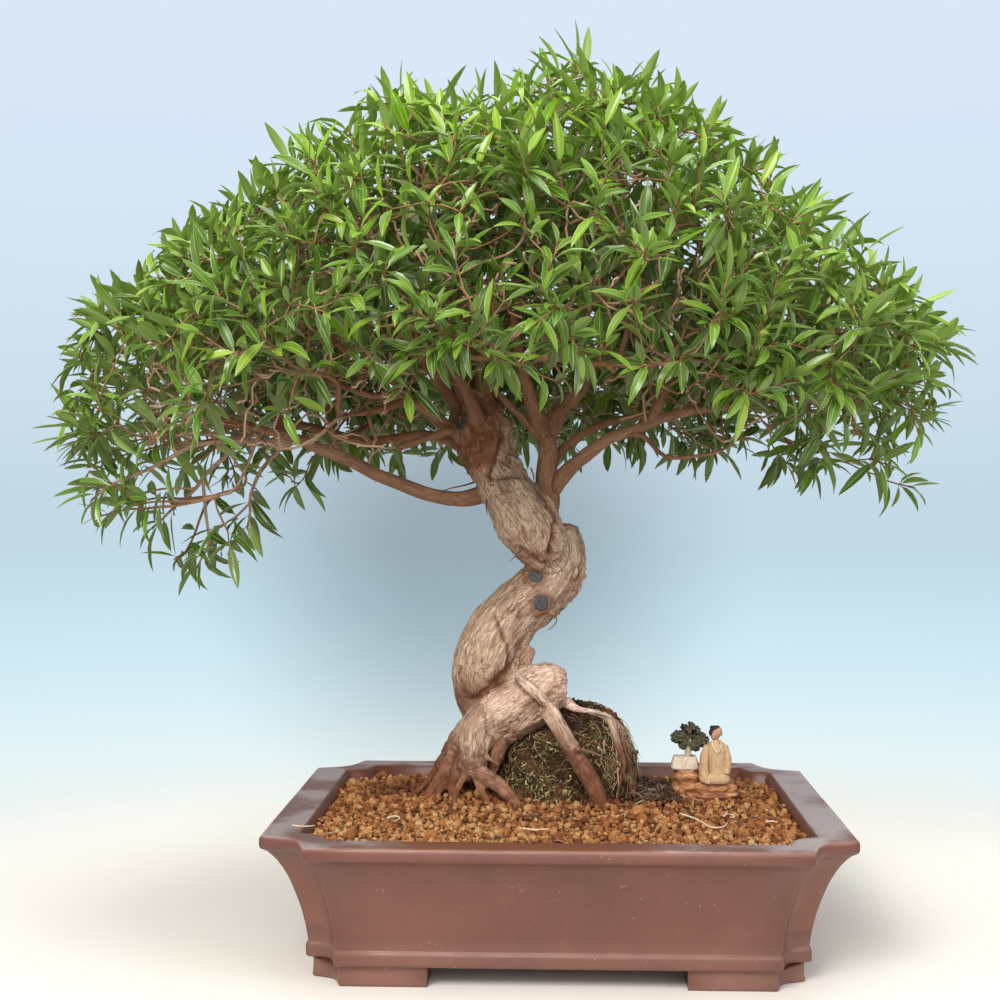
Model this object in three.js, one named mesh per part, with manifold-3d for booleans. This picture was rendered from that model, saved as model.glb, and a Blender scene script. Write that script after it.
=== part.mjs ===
// Willow leaf fig bonsai: a twisted trunk on a crown of roots and a ball of peat and moss, standing in
// grainy soil in a long unglazed stoneware pot, with a small mud figure and a miniature tree beside it.
// Millimetres, +Z up, the front of the pot faces -Y.
import * as THREE from 'three';
import { mergeVertices } from 'three/addons/utils/BufferGeometryUtils.js';
import Module from 'manifold-3d';

// Pot
const POT_LENGTH = 500;
const POT_DEPTH = 390;
const POT_HEIGHT = 126;
const CORNER = 44;
const RIM_BAND = 12;
const RIM_WIDTH_SIDE = 33;
const RIM_WIDTH_FRONT = 28;
const WALL_INSET = 38;
const LOWER_BAND = 13.5;
const FOOT_HEIGHT = 17.5;
const FOOT_RUN = 99.5;
const FOOT_WIDTH = 40;
const FLOOR = 13.5;
const DRAIN_DIAMETER = 25;
const DRAIN_SPACING = 230;
// What stands in the pot is measured from a level this far above the ground
const STANDING = 4;

// Soil and ball
const SOIL_LEVEL = 113;
const SOIL_RISE = 7;
const SOIL_STEP = 40;
const BALL = { x: 12, y: 72, z: 116, rx: 70, ry: 64, up: 88, down: 16 };

// Crown, measured to the tips of the twigs: the leaves reach up to 48 mm further
const HUB = new THREE.Vector3(-60, 55, 480);
const CROWN = { x: -53, y: 50, a: 406, b: 256 };
const EQUATOR = { left: 480, right: 535, front: 560, back: 520 };
const SKIRT = { left: 352, right: 420, front: 500, back: 455 };
const RIDGE = [[-458, 535], [-435, 586], [-385, 604], [-330, 652], [-270, 690], [-200, 748], [-141, 776],
  [-56, 772], [2, 804], [73, 788], [111, 764], [175, 720], [235, 670], [280, 612], [325, 572], [358, 545]];
const SPRAY_REACH = 0.74;
const TIPS_PER_SPRAY = 3;
const TIP_SPACING = 52;
const LEAVES_PER_TIP = 4;
const LEAF_LENGTH = 48;
const LEAF_WIDTH = 11;
const LEAF_THICKNESS = 1.2;
const TWIG_RADIUS = 1.3;
const BOUGH_RADIUS = 2.7;
const SEAM = 0.35;

// Each sweep is a list of [x, y, z, radius]
const TRUNK = [
  [[-30, 82, 158, 33], [-42, 88, 177, 38], [-62, 78, 209, 37.4], [-67, 68, 241, 35.2], [-57, 60, 270, 31.1],
    [-39, 60, 294, 27.6], [-17, 64, 312, 28.6], [-2, 70, 332, 28.4], [2, 74, 356, 25.5], [3, 74, 377, 17]],
  [[-8, 54, 343, 19.3], [-16, 50, 357, 27], [-28, 48, 379, 29.9], [-44, 50, 403, 27], [-57, 54, 426, 23.2],
    [-68, 58, 449, 27.5], [-75, 60, 474, 28.5], [-77, 60, 496, 21.5], [-77, 60, 511, 13]],
];
const ROOT_CROWN = [[5, 45, 220, 18.3], [-7, 42, 221, 24.9], [-24, 40, 212, 28.7], [-45, 40, 198, 28.7],
  [-68, 42, 180, 24.9], [-89, 46, 159, 20.2], [-105, 50, 136, 14.5], [-116, 52, 111, 8.7], [-122, 52, 96, 5]];
const ROOTS = [
  [[-12, 18, 204, 5.7], [-2, 10, 193, 8.9], [12, 4, 171, 9.6], [26, 2, 147, 9.6], [37, 0, 127, 8.4], [45, 0, 103, 5.6]],
  [[-39, 26, 234, 3.8], [-29, 16, 228, 5.7], [-15, 12, 217, 6.1], [-1, 14, 204, 5.6], [8, 20, 192, 3.8]],
  [[-70, 30, 196, 9.5], [-80, 20, 181, 11.3], [-81, 16, 166, 11.8], [-78, 14, 152, 9.4], [-69, 14, 143, 5.6]],
  [[-92, 18, 152, 4.7], [-82, 12, 149, 7], [-69, 6, 143, 8], [-54, 2, 134, 7.5], [-42, 0, 122, 6.1], [-29, 0, 104, 3.7]],
  [[-95, 38, 164, 7.7], [-105, 28, 147, 6.6], [-115, 24, 130, 5.2], [-126, 20, 115, 3.8], [-134, 20, 101, 2.4]],
  [[-87, 28, 158, 6.2], [-94, 20, 144, 5.7], [-98, 16, 128, 4.7], [-104, 14, 108, 3.3]],
  [[-102, 54, 157, 7.7], [-114, 64, 138, 6.8], [-127, 70, 119, 5.4], [-139, 74, 99, 3.9]],
  [[-61, 26, 185, 4.7], [-66, 18, 173, 5.2], [-69, 14, 162, 3.8], [-61, 10, 156, 1.9], [-54, 8, 152, 1.6]],
  [[8, 38, 208, 5.7], [20, 30, 202, 3.8], [35, 24, 201, 2.8], [51, 26, 194, 2.8], [58, 26, 179, 2.8],
    [64, 24, 159, 2.8], [70, 22, 138, 2.8], [75, 20, 107, 2.4]],
  [[12, -2, 167, 1.6], [23, -7, 170, 1.9], [38, -6, 165, 1.9], [53, 2, 157, 1.9], [65, 8, 141, 1.9], [78, 12, 106, 1.6]],
  [[48, 30, 196, 3.3], [54, 20, 182, 3.8], [58, 16, 168, 3.3], [63, 14, 152, 2.4], [57, 8, 130, 1.9], [55, 6, 105, 1.6]],
];
const LIMBS = [
  [[-14, 58, 381, 12], [-9, 60, 401, 11.2], [-11, 60, 425, 10.2], [-9, 60, 451, 9.7], [-11, 60, 474, 8.6]],
  [[-11, 60, 462, 8.6], [-23, 56, 490, 6.8], [-30, 48, 513, 5.8], [-37, 30, 544, 4.8], [-43, 10, 580, 3.8]],
  [[-11, 60, 462, 8.6], [4, 66, 489, 7.8], [21, 74, 508, 6.9], [38, 86, 537, 5.9], [54, 100, 575, 5], [67, 112, 617, 4]],
  [[-8, 58, 406, 6.3], [10, 52, 429, 6.3], [30, 46, 446, 6.3], [52, 40, 461, 5.7], [79, 34, 470, 5.2],
    [100, 30, 479, 4.8], [126, 24, 485, 4.3], [157, 20, 489, 3.8], [193, 16, 495, 3.3]],
  [[88, 32, 474, 4.3], [98, 30, 498, 4.3], [106, 34, 530, 3.8], [117, 40, 569, 3.4]],
  [[-8, 62, 438, 4.4], [12, 80, 456, 3.9], [32, 96, 470, 4], [65, 120, 482, 3.5], [101, 150, 489, 3.1], [145, 180, 505, 2.8]],
  [[-63, 54, 411, 6.8], [-84, 52, 403, 7.2], [-108, 48, 403, 6.7], [-137, 42, 411, 6.7], [-169, 34, 424, 6.2],
    [-199, 28, 439, 6.2], [-232, 20, 453, 5.7], [-263, 16, 464, 4.7], [-299, 14, 471, 3.8]],
  [[-85, 66, 451, 4.9], [-115, 72, 462, 4.4], [-137, 80, 465, 4.4], [-166, 94, 461, 4.5], [-196, 110, 460, 4.5],
    [-227, 126, 468, 4.1], [-264, 144, 478, 3.6], [-307, 160, 485, 3.1]],
  [[-88, 46, 457, 4.8], [-111, 36, 477, 4.3], [-129, 24, 491, 4.3], [-144, 10, 493, 3.8], [-167, -16, 484, 3.2],
    [-191, -44, 478, 2.8]],
  [[-85, 56, 474, 7.7], [-104, 54, 502, 5.8], [-129, 52, 536, 5.3], [-164, 52, 573, 4.3], [-205, 54, 606, 3.4]],
  [[-82, 52, 483, 7.2], [-97, 34, 525, 5.7], [-114, 8, 572, 4.7], [-131, -18, 620, 3.7]],
  [[-79, 64, 493, 6.8], [-88, 82, 553, 5.9], [-99, 104, 616, 5], [-107, 124, 668, 4.1]],
  [[-73, 52, 488, 6.8], [-68, 24, 548, 5.7], [-62, -10, 600, 4.6], [-56, -38, 640, 3.6]],
  [[-70, 64, 490, 6.8], [-53, 94, 548, 6], [-36, 128, 609, 5.1], [-18, 158, 664, 4.1]],
  [[-70, 74, 474, 6.9], [-70, 120, 506, 5.6], [-79, 170, 536, 4.7], [-88, 220, 566, 3.8]],
  [[-76, 44, 473, 6.7], [-81, 0, 495, 5.1], [-92, -50, 517, 4], [-102, -100, 530, 3]],
];

// Outermost twig tips that give the crown its outline
const OUTLINE_TIPS = [[-461, 48, 462], [-440, 30, 566], [-425, 70, 398], [-372, 62, 345], [-322, 40, 356],
  [-352, 60, 660], [-238, 52, 715], [-150, 44, 776], [2, 56, 800], [88, 60, 782], [236, 44, 672], [357, 50, 545],
  [338, 60, 414], [296, 40, 440], [-60, -206, 524], [60, -196, 560], [-70, 306, 520], [120, 60, 466]];

const wasm = await Module();
wasm.setup();
const V = (x, y, z) => new THREE.Vector3(x, y, z);

function randomFrom(seed) {
  let s = seed | 0;
  return () => {
    s = (s + 0x6D2B79F5) | 0;
    let t = Math.imul(s ^ (s >>> 15), 1 | s);
    t = (t + Math.imul(t ^ (t >>> 7), 61 | t)) ^ t;
    return ((t ^ (t >>> 14)) >>> 0) / 4294967296;
  };
}

function surface(positions, index) {
  const geometry = new THREE.BufferGeometry();
  geometry.setAttribute('position', new THREE.Float32BufferAttribute(positions, 3));
  geometry.setIndex(index);
  return geometry;
}

function solid(geometry) {
  let g = geometry;
  if (g.attributes.normal || g.attributes.uv) {
    g = geometry.clone();
    g.deleteAttribute('normal');
    g.deleteAttribute('uv');
    g = mergeVertices(g, 1e-3);
  }
  const mesh = new wasm.Mesh({
    numProp: 3,
    vertProperties: new Float32Array(g.attributes.position.array),
    triVerts: new Uint32Array(g.index.array),
  });
  return new wasm.Manifold(mesh);
}

function geometryOf(body) {
  const { vertProperties, triVerts, numProp } = body.getMesh();
  const positions = [];
  for (let i = 0; i < vertProperties.length; i += numProp) {
    positions.push(vertProperties[i], vertProperties[i + 1], vertProperties[i + 2]);
  }
  return surface(positions, Array.from(triVerts));
}

// Length of the shortest edge of a solid: a join that leaves a sliver is not kept
function finestEdge(body) {
  const { vertProperties: p, triVerts: t } = body.getMesh();
  let least = Infinity;
  for (let i = 0; i < t.length; i++) {
    const a = 3 * t[i];
    const b = 3 * t[i % 3 === 2 ? i - 2 : i + 1];
    least = Math.min(least, Math.hypot(p[a] - p[b], p[a + 1] - p[b + 1], p[a + 2] - p[b + 2]));
  }
  return least;
}

const join = (bodies) => bodies.reduce((whole, body) => whole.add(body));

// Closed skin over a stack of rings with the same number of points, each end closed to its middle
function loft(rings) {
  const n = rings[0].length;
  const positions = [];
  const index = [];
  for (const ring of rings) for (const p of ring) positions.push(p.x, p.y, p.z);
  for (let k = 0; k < rings.length - 1; k++) {
    for (let i = 0; i < n; i++) {
      const a = k * n + i;
      const b = k * n + ((i + 1) % n);
      index.push(a, b, a + n, b, b + n, a + n);
    }
  }
  for (const [ring, base, flip] of [[rings[0], 0, true], [rings.at(-1), (rings.length - 1) * n, false]]) {
    if (n === 3) {
      index.push(...(flip ? [base + 2, base + 1, base] : [base, base + 1, base + 2]));
      continue;
    }
    const c = ring.reduce((sum, p) => sum.add(p), V(0, 0, 0)).divideScalar(n);
    const m = positions.length / 3;
    positions.push(c.x, c.y, c.z);
    for (let i = 0; i < n; i++) {
      const a = base + i;
      const b = base + ((i + 1) % n);
      index.push(...(flip ? [b, a, m] : [a, b, m]));
    }
  }
  return surface(positions, index);
}

// Rings round a path, carried along it without twisting
function ringsAlong(points, radii, sides, lump = 0) {
  const rings = [];
  let side = null;
  for (let k = 0; k < points.length; k++) {
    const before = points[Math.max(0, k - 1)];
    const after = points[Math.min(points.length - 1, k + 1)];
    const dir = after.clone().sub(before).normalize();
    if (!side) side = Math.abs(dir.z) < 0.8 ? V(0, 0, 1) : V(1, 0, 0);
    side = side.clone().addScaledVector(dir, -side.dot(dir)).normalize();
    const up = dir.clone().cross(side);
    const ring = [];
    for (let i = 0; i < sides; i++) {
      const angle = (2 * Math.PI * i) / sides;
      const r = radii[k] * (1 + lump * Math.sin(3 * angle + k * 0.9) * Math.cos(k * 1.7));
      ring.push(points[k].clone().addScaledVector(side, r * Math.cos(angle)).addScaledVector(up, r * Math.sin(angle)));
    }
    rings.push(ring);
  }
  return rings;
}

function resample(stations, step) {
  const curve = new THREE.CatmullRomCurve3(stations.map(([x, y, z]) => V(x, y, z)), false, 'centripetal');
  const last = stations.length - 1;
  const count = Math.max(2, Math.round(curve.getLength() / step));
  const points = [];
  const radii = [];
  for (let k = 0; k <= count; k++) {
    const t = k / count;
    const i = Math.min(last - 1, Math.floor(t * last));
    points.push(curve.getPoint(t));
    radii.push(THREE.MathUtils.lerp(stations[i][3], stations[i + 1][3], t * last - i));
  }
  return { points, radii };
}

function sweep(stations, step, sides, lump = 0, grow = 0) {
  const { points, radii } = resample(stations, step);
  return solid(loft(ringsAlong(points, radii.map((r) => r + grow), sides, lump)));
}

// Pot: plan outline with an indented corner, anticlockwise, at a given inset from the full size
const CORNER_CURVE = [[0, 0], [0.12, 0.36], [0.25, 0.62], [0.38, 0.75], [0.64, 0.88], [1, 1]];
function potOutline(insetX, insetY, corner, z) {
  const hx = POT_LENGTH / 2 - insetX;
  const hy = POT_DEPTH / 2 - insetY;
  const quarter = CORNER_CURVE.map(([u, v]) => [hx - corner + u * corner, -hy + v * corner]);
  const ring = [];
  for (const [x, y] of quarter) ring.push(V(x, y, z));
  for (const [x, y] of [...quarter].reverse()) ring.push(V(x, -y, z));
  for (const [x, y] of quarter) ring.push(V(-x, -y, z));
  for (const [x, y] of [...quarter].reverse()) ring.push(V(-x, y, z));
  return ring;
}

function pot() {
  const wallTop = POT_HEIGHT - RIM_BAND;
  const wallFoot = FOOT_HEIGHT + LOWER_BAND;
  const wall = [[0, 3], [0.08, 10.5], [0.22, 18.5], [0.42, 26], [0.66, 32.5], [1, WALL_INSET]];
  const profile = [
    [FOOT_HEIGHT, WALL_INSET + 1], [FOOT_HEIGHT + 2, WALL_INSET - 1.5], [wallFoot - 1.5, WALL_INSET - 2],
    ...wall.slice(1).reverse().map(([t, inset]) => [wallTop - t * (wallTop - wallFoot - 1.5), inset]),
    [wallTop, 2], [wallTop + 2, 0.3], [POT_HEIGHT - 2, 0], [POT_HEIGHT, 2],
  ];
  const outer = profile.map(([z, inset]) => potOutline(inset, inset, CORNER - inset * 0.42, z));
  const hollow = [[POT_HEIGHT + 5, 0], [POT_HEIGHT - 1.5, 0], [POT_HEIGHT - 5, 2], [74, 14], [FOOT_HEIGHT + FLOOR, 20]];
  const inner = hollow.map(([z, d]) => potOutline(RIM_WIDTH_SIDE + d, RIM_WIDTH_FRONT + d, CORNER * 0.62, z)).reverse();
  let body = solid(loft(outer)).subtract(solid(loft(inner)));
  for (const side of [-1, 1]) {
    const drain = new THREE.CylinderGeometry(DRAIN_DIAMETER / 2, DRAIN_DIAMETER / 2, 40, 12);
    drain.rotateX(Math.PI / 2);
    drain.translate((side * DRAIN_SPACING) / 2, 0, FOOT_HEIGHT + FLOOR / 2);
    body = body.subtract(solid(drain));
  }
  // Four feet follow the corners, set back under the lower band
  const cover = WALL_INSET + 4;
  const plinth = solid(loft([potOutline(cover + 1, cover + 1, 24, 0), potOutline(cover - 0.8, cover - 0.8, 26, 1.6),
    potOutline(cover, cover, 26, FOOT_HEIGHT + 2)]));
  const within = solid(loft([potOutline(cover + FOOT_WIDTH, cover + FOOT_WIDTH, 20, -5),
    potOutline(cover + FOOT_WIDTH, cover + FOOT_WIDTH, 20, 40)]));
  const long = new THREE.BoxGeometry(POT_LENGTH - 2 * cover - 2 * FOOT_RUN, POT_DEPTH, 2 * FOOT_HEIGHT);
  const wide = new THREE.BoxGeometry(POT_LENGTH, POT_DEPTH - 2 * cover - 2 * FOOT_RUN, 2 * FOOT_HEIGHT);
  const slots = [long, wide].map((g) => solid(g.translate(0, 0, 0)));
  const feet = plinth.subtract(within).subtract(slots[0]).subtract(slots[1]);
  const tops = solid(new THREE.BoxGeometry(POT_LENGTH, POT_DEPTH, FOOT_HEIGHT + 1).translate(0, 0, (FOOT_HEIGHT + 1) / 2));
  return body.add(feet.intersect(tops));
}

// Peat and moss ball: a squarish dome
function ball(grow = 0) {
  const g = new THREE.SphereGeometry(1, 16, 9);
  g.rotateX(Math.PI / 2);
  const p = g.attributes.position;
  for (let i = 0; i < p.count; i++) {
    const v = V(p.getX(i), p.getY(i), p.getZ(i));
    const m = (Math.abs(v.x) ** 2.6 + Math.abs(v.y) ** 2.6 + Math.abs(v.z) ** 2.6) ** (-1 / 2.6);
    v.multiplyScalar(m);
    const bump = 1 + 0.035 * Math.sin(5 * v.x + 3 * v.z) * Math.cos(4 * v.y + 2 * v.z);
    p.setXYZ(i, BALL.x + v.x * (BALL.rx * bump + grow), BALL.y + v.y * (BALL.ry * bump + grow),
      BALL.z + v.z * ((v.z > 0 ? BALL.up : BALL.down) + grow));
  }
  return solid(g);
}

// Tree skeleton: nodes that a new branch can spring from
const nodes = [];
function addPath(points, radii, owner, skip) {
  for (let k = skip; k < points.length; k++) {
    const before = points[Math.max(0, k - 1)];
    const after = points[Math.min(points.length - 1, k + 1)];
    nodes.push({ p: points[k], d: after.clone().sub(before).normalize(), r: radii[k], owner });
  }
}

function branchTo(target, heading, tipRadius, owner, pitch) {
  let best = null;
  let least = Infinity;
  for (const node of nodes) {
    if (node.owner !== owner) continue;
    const way = target.clone().sub(node.p);
    const far = way.length();
    if (far < 6) continue;
    const cost = far * (1.5 - 0.75 * node.d.dot(way) / far);
    if (cost < least) {
      least = cost;
      best = node;
    }
  }
  const far = target.distanceTo(best.p);
  const curve = new THREE.CubicBezierCurve3(best.p, best.p.clone().addScaledVector(best.d, far * 0.3),
    target.clone().addScaledVector(heading, -far * 0.35), target);
  const count = Math.max(2, Math.round(far / pitch));
  const startRadius = Math.max(tipRadius, Math.min(best.r * 0.85, tipRadius + far * 0.012));
  const points = [];
  const radii = [];
  for (let k = 0; k <= count; k++) {
    points.push(curve.getPoint(k / count));
    radii.push(THREE.MathUtils.lerp(startRadius, tipRadius, k / count));
  }
  addPath(points, radii, owner, 1);
  return { points, radii };
}

const along = (line, x) => {
  const i = Math.max(1, Math.min(line.length - 1, line.findIndex(([u]) => u > x) < 0 ? line.length - 1 : line.findIndex(([u]) => u > x)));
  const [[x0, z0], [x1, z1]] = [line[i - 1], line[i]];
  return z0 + (z1 - z0) * Math.max(0, Math.min(1, (x - x0) / (x1 - x0)));
};

function shell(theta, phi) {
  const c = Math.cos(theta);
  const s = Math.sin(theta);
  const rho = Math.sin(phi);
  const x = CROWN.x + CROWN.a * rho * c;
  const y = CROWN.y + CROWN.b * rho * s;
  const blend = (level) => c * c * (c > 0 ? level.right : level.left) + s * s * (s > 0 ? level.back : level.front);
  const equator = blend(EQUATOR);
  if (phi > Math.PI / 2) return V(x, y, equator + (equator - blend(SKIRT)) * 2 * Math.cos(phi));
  const v = (rho * s) / Math.sqrt(Math.max(1e-6, 1 - (rho * c) ** 2));
  return V(x, y, equator + (along(RIDGE, x) - equator) * Math.sqrt(Math.max(0, 1 - v * v)));
}

// Way that a twig points where it ends on the crown
function outward(p) {
  const w = V((p.x - CROWN.x) / CROWN.a ** 1.6, (p.y - CROWN.y) / CROWN.b ** 1.6, (p.z - 470) / 300 ** 1.6);
  return w.normalize().add(V(0, 0, p.z > 560 ? 0.35 : -0.1)).normalize();
}

const SPRAY_SPOTS = [];
for (let k = 0; k < 12; k++) SPRAY_SPOTS.push([30 * k, 97]);
for (let k = 0; k < 9; k++) SPRAY_SPOTS.push([20 + 40 * k, 60]);
for (let k = 0; k < 5; k++) SPRAY_SPOTS.push([25 + 72 * k, 25]);
SPRAY_SPOTS.push([168, 113], [194, 115]);

for (const limb of LIMBS) {
  const { points, radii } = resample(limb, 24);
  addPath(points, radii, 'limb', 2);
}
const boughs = [];
const sprays = SPRAY_SPOTS.map(([theta, phi], k) => {
  const centre = shell(THREE.MathUtils.degToRad(theta), THREE.MathUtils.degToRad(phi));
  const base = HUB.clone().lerp(centre, SPRAY_REACH);
  const heading = centre.clone().sub(HUB).normalize();
  return { name: `spray_${String(k + 1).padStart(2, '0')}`, centre, base, heading, stems: [], tips: [], leaves: [] };
});
for (const spray of sprays) {
  const bough = branchTo(spray.base.clone().addScaledVector(spray.heading, -8), spray.heading, BOUGH_RADIUS, 'limb', 56);
  bough.points.push(spray.base);
  bough.radii.push(BOUGH_RADIUS);
  boughs.push(bough);
}

// Places for twig tips, spread evenly over the crown
function crownSpot(i, random) {
  const theta = 2 * Math.PI * ((0.5 + i * 0.7548776662466927) % 1);
  const height = 1 - 1.46 * ((0.5 + i * 0.5698402909980532) % 1);
  const rho = Math.sqrt(1 - height * height);
  const size = Math.hypot(0.626 * rho * Math.cos(theta), rho * Math.sin(theta), 0.9 * height);
  return random() > size ? null : shell(theta, Math.acos(height));
}

// A body reaches along a segment with a radius: two of them clash when they come closer than the sum
function segmentGap(a, b) {
  const u = a.q.clone().sub(a.p);
  const v = b.q.clone().sub(b.p);
  const w = a.p.clone().sub(b.p);
  const [uu, uv, vv, uw, vw] = [u.dot(u), u.dot(v), v.dot(v), u.dot(w), v.dot(w)];
  const det = uu * vv - uv * uv;
  let s = det > 1e-9 ? THREE.MathUtils.clamp((uv * vw - vv * uw) / det, 0, 1) : 0;
  const t = THREE.MathUtils.clamp((uv * s + vw) / Math.max(vv, 1e-9), 0, 1);
  s = THREE.MathUtils.clamp((uv * t - uw) / Math.max(uu, 1e-9), 0, 1);
  return w.addScaledVector(u, s).addScaledVector(v, -t).length() - a.r - b.r;
}
const segmentsOf = ({ points, radii }) => points.slice(1).map((q, k) => ({ p: points[k], q, r: Math.max(radii[k], radii[k + 1]) }));

const taken = [];
const claim = (segments, owner) => segments.forEach((s) => taken.push({ ...s, owner }));
const free = (segments, owner, room) => segments.every((s) => taken.every((t) => (t.leaf && s.leaf && t.owner === owner
  ? segmentGap({ ...s, r: 1.5 }, { ...t, r: 1.5 }) > 0 : t.owner === owner || segmentGap(s, t) > room)));
for (const limb of LIMBS) claim(segmentsOf(resample(limb, 24)), 'tree');
for (const bough of boughs) claim(segmentsOf(bough), 'tree');
for (const piece of TRUNK) claim(segmentsOf(resample(piece, 20)), 'tree');

for (const spray of sprays) {
  const points = [spray.base.clone().addScaledVector(spray.heading, SEAM), spray.base.clone().addScaledVector(spray.heading, 16)];
  const radii = [BOUGH_RADIUS, BOUGH_RADIUS * 0.85];
  addPath(points, radii, spray.name, 0);
  spray.stems.push({ points, radii });
  claim(segmentsOf({ points, radii }), spray.name);
}

// Alternate leaves along the last stretch of a twig and one at its end
function leavesAt({ points }, count, random) {
  const tip = points.at(-1);
  const heading = tip.clone().sub(points.at(-2));
  const run = Math.min(28, heading.length() - 2);
  heading.normalize();
  const side = Math.abs(heading.z) < 0.9 ? V(0, 0, 1) : V(1, 0, 0);
  const u = side.cross(heading).normalize();
  const v = heading.clone().cross(u);
  const turn = 6.283 * random();
  const leaves = [];
  for (let j = 0; j < count; j++) {
    const angle = turn + j * 2.4;
    const spread = j === count - 1 ? 0.25 : 0.75 + 0.45 * random();
    const way = heading.clone().multiplyScalar(Math.cos(spread))
      .addScaledVector(u, Math.sin(spread) * Math.cos(angle)).addScaledVector(v, Math.sin(spread) * Math.sin(angle));
    way.z -= 0.12;
    way.normalize();
    const root = tip.clone().addScaledVector(heading, -run * (1 - j / (count - 1)) - 1);
    leaves.push({ root, way, length: LEAF_LENGTH * (0.9 + 0.2 * random()) });
  }
  return leaves;
}

// Folded blade: a keel under two edges, from a point inside the twig to a sharp tip
function blade({ root, way, length }) {
  const side = (Math.abs(way.z) < 0.95 ? V(0, 0, 1) : V(1, 0, 0)).cross(way).normalize();
  const up = way.clone().cross(side);
  const at = (t, w, h) => root.clone().addScaledVector(way, t * length).addScaledVector(side, w).addScaledVector(up, h);
  const half = LEAF_WIDTH / 2;
  const ring = [at(0.42, half, 3.6), at(0.42, -half, 3.6), at(0.42, 0, 3.6 - LEAF_THICKNESS - 0.8)];
  const points = [at(0, 0, 0), ...ring, at(1, 0, 0)];
  return surface(points.flatMap((p) => [p.x, p.y, p.z]), [0, 2, 1, 0, 3, 2, 0, 1, 3, 4, 1, 2, 4, 2, 3, 4, 3, 1]);
}

const random = randomFrom(21);
function grow(tip) {
  const spray = sprays.reduce((a, b) => (a.centre.distanceTo(tip) < b.centre.distanceTo(tip) ? a : b));
  const spaced = spray.tips.every((other) => other.distanceTo(tip) > TIP_SPACING);
  if (spray.tips.length >= TIPS_PER_SPRAY || !spaced) return;
  const heading = outward(tip);
  const before = nodes.length;
  const stem = branchTo(tip, heading, TWIG_RADIUS, spray.name, 70);
  if (!free(segmentsOf(stem), spray.name, 1)) {
    nodes.length = before;
    return;
  }
  claim(segmentsOf(stem), spray.name);
  spray.stems.push(stem);
  spray.tips.push(tip);
  for (const leaf of leavesAt(stem, LEAVES_PER_TIP, random)) {
    const end = leaf.root.clone().addScaledVector(leaf.way, leaf.length);
    const reach = [{ p: leaf.root.clone().lerp(end, 0.25), q: end, r: LEAF_WIDTH / 2 + 0.7, leaf: true }];
    if (!free(reach, spray.name, 0.6)) continue;
    claim(reach, spray.name);
    spray.leaves.push(leaf);
  }
}
for (const [x, y, z] of OUTLINE_TIPS) grow(V(x, y, z));
for (let i = 1; i < 1500; i++) {
  const spot = crownSpot(i, random);
  if (spot) grow(spot);
}

// Build the solids
const treeParts = (grow) => [
  ...TRUNK.map((s) => sweep(s, 27, 9, grow ? 0 : 0.04, grow)),
  sweep(ROOT_CROWN, 27, 9, grow ? 0 : 0.05, grow),
  ...ROOTS.map((s) => sweep(s, 24, 5, 0, grow)),
];
const rootsAndTrunk = join(treeParts(0));
const tree = join([rootsAndTrunk, ...LIMBS.map((s) => sweep(s, 50, 5)),
  ...boughs.map(({ points, radii }) => solid(loft(ringsAlong(points, radii, 3))))]);
const swollen = join(treeParts(2));
const mossBall = ball().subtract(swollen);

// Soil: an even bed that rises to the foot of the tree, with a grainy relief, holding plain holes for the
// roots, the ball and the rock
function soilHeight(x, y) {
  const rise = SOIL_RISE * Math.exp(-(((x - 5) / 130) ** 2) - ((y - 55) / 85) ** 2);
  return SOIL_LEVEL + rise - 1.5 * Math.exp(-(((y - 165) / 40) ** 2));
}

function soil() {
  const levels = [[FOOT_HEIGHT + FLOOR + SEAM - STANDING, 20], [70, 14], [POT_HEIGHT - STANDING - 5, 2], [POT_HEIGHT + 20, 2]];
  const core = solid(loft(levels.map(([z, d]) => (
    potOutline(RIM_WIDTH_SIDE + d + SEAM, RIM_WIDTH_FRONT + d + SEAM, CORNER * 0.62, z)))));
  const columns = Math.round(POT_LENGTH / SOIL_STEP);
  const rows = Math.round(POT_DEPTH / SOIL_STEP);
  const random = randomFrom(5);
  const grid = new THREE.BoxGeometry(POT_LENGTH, POT_DEPTH, 100, columns, rows, 1);
  const p = grid.attributes.position;
  const relief = new Map();
  for (let i = 0; i < p.count; i++) {
    const key = `${p.getX(i).toFixed(1)},${p.getY(i).toFixed(1)}`;
    if (!relief.has(key)) relief.set(key, 2.6 * random() - 1.3);
    const z = p.getZ(i) > 0 ? soilHeight(p.getX(i), p.getY(i)) + relief.get(key) : 20;
    p.setZ(i, z);
  }
  return core.intersect(solid(grid));
}

// Small mud group: a rock base, a seated figure and a tiny potted tree
function boulder(x, y, z0, rx, ry, height, seed) {
  const g = new THREE.IcosahedronGeometry(1, 1);
  const random = randomFrom(seed);
  const bumps = new Map();
  const p = g.attributes.position;
  for (let i = 0; i < p.count; i++) {
    const key = [p.getX(i), p.getY(i), p.getZ(i)].map((c) => c.toFixed(3)).join();
    if (!bumps.has(key)) bumps.set(key, 0.93 + 0.14 * random());
    const b = bumps.get(key);
    const level = THREE.MathUtils.clamp(p.getZ(i) * 0.72 * b + 0.5, 0, 1);
    p.setXYZ(i, x + p.getX(i) * rx * b, y + p.getY(i) * ry * b, z0 + level * height);
  }
  return solid(g);
}

function turned(profile, sides, place, lean = [0, 0]) {
  const g = new THREE.LatheGeometry(profile.map(([r, z]) => new THREE.Vector2(r, z)), sides);
  g.rotateX(Math.PI / 2);
  const p = g.attributes.position;
  for (let i = 0; i < p.count; i++) {
    const h = p.getZ(i);
    p.setXYZ(i, place.x + p.getX(i) * place.wide + lean[0] * h, place.y + p.getY(i) * place.deep + lean[1] * h, place.z + h);
  }
  return solid(g);
}

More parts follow.
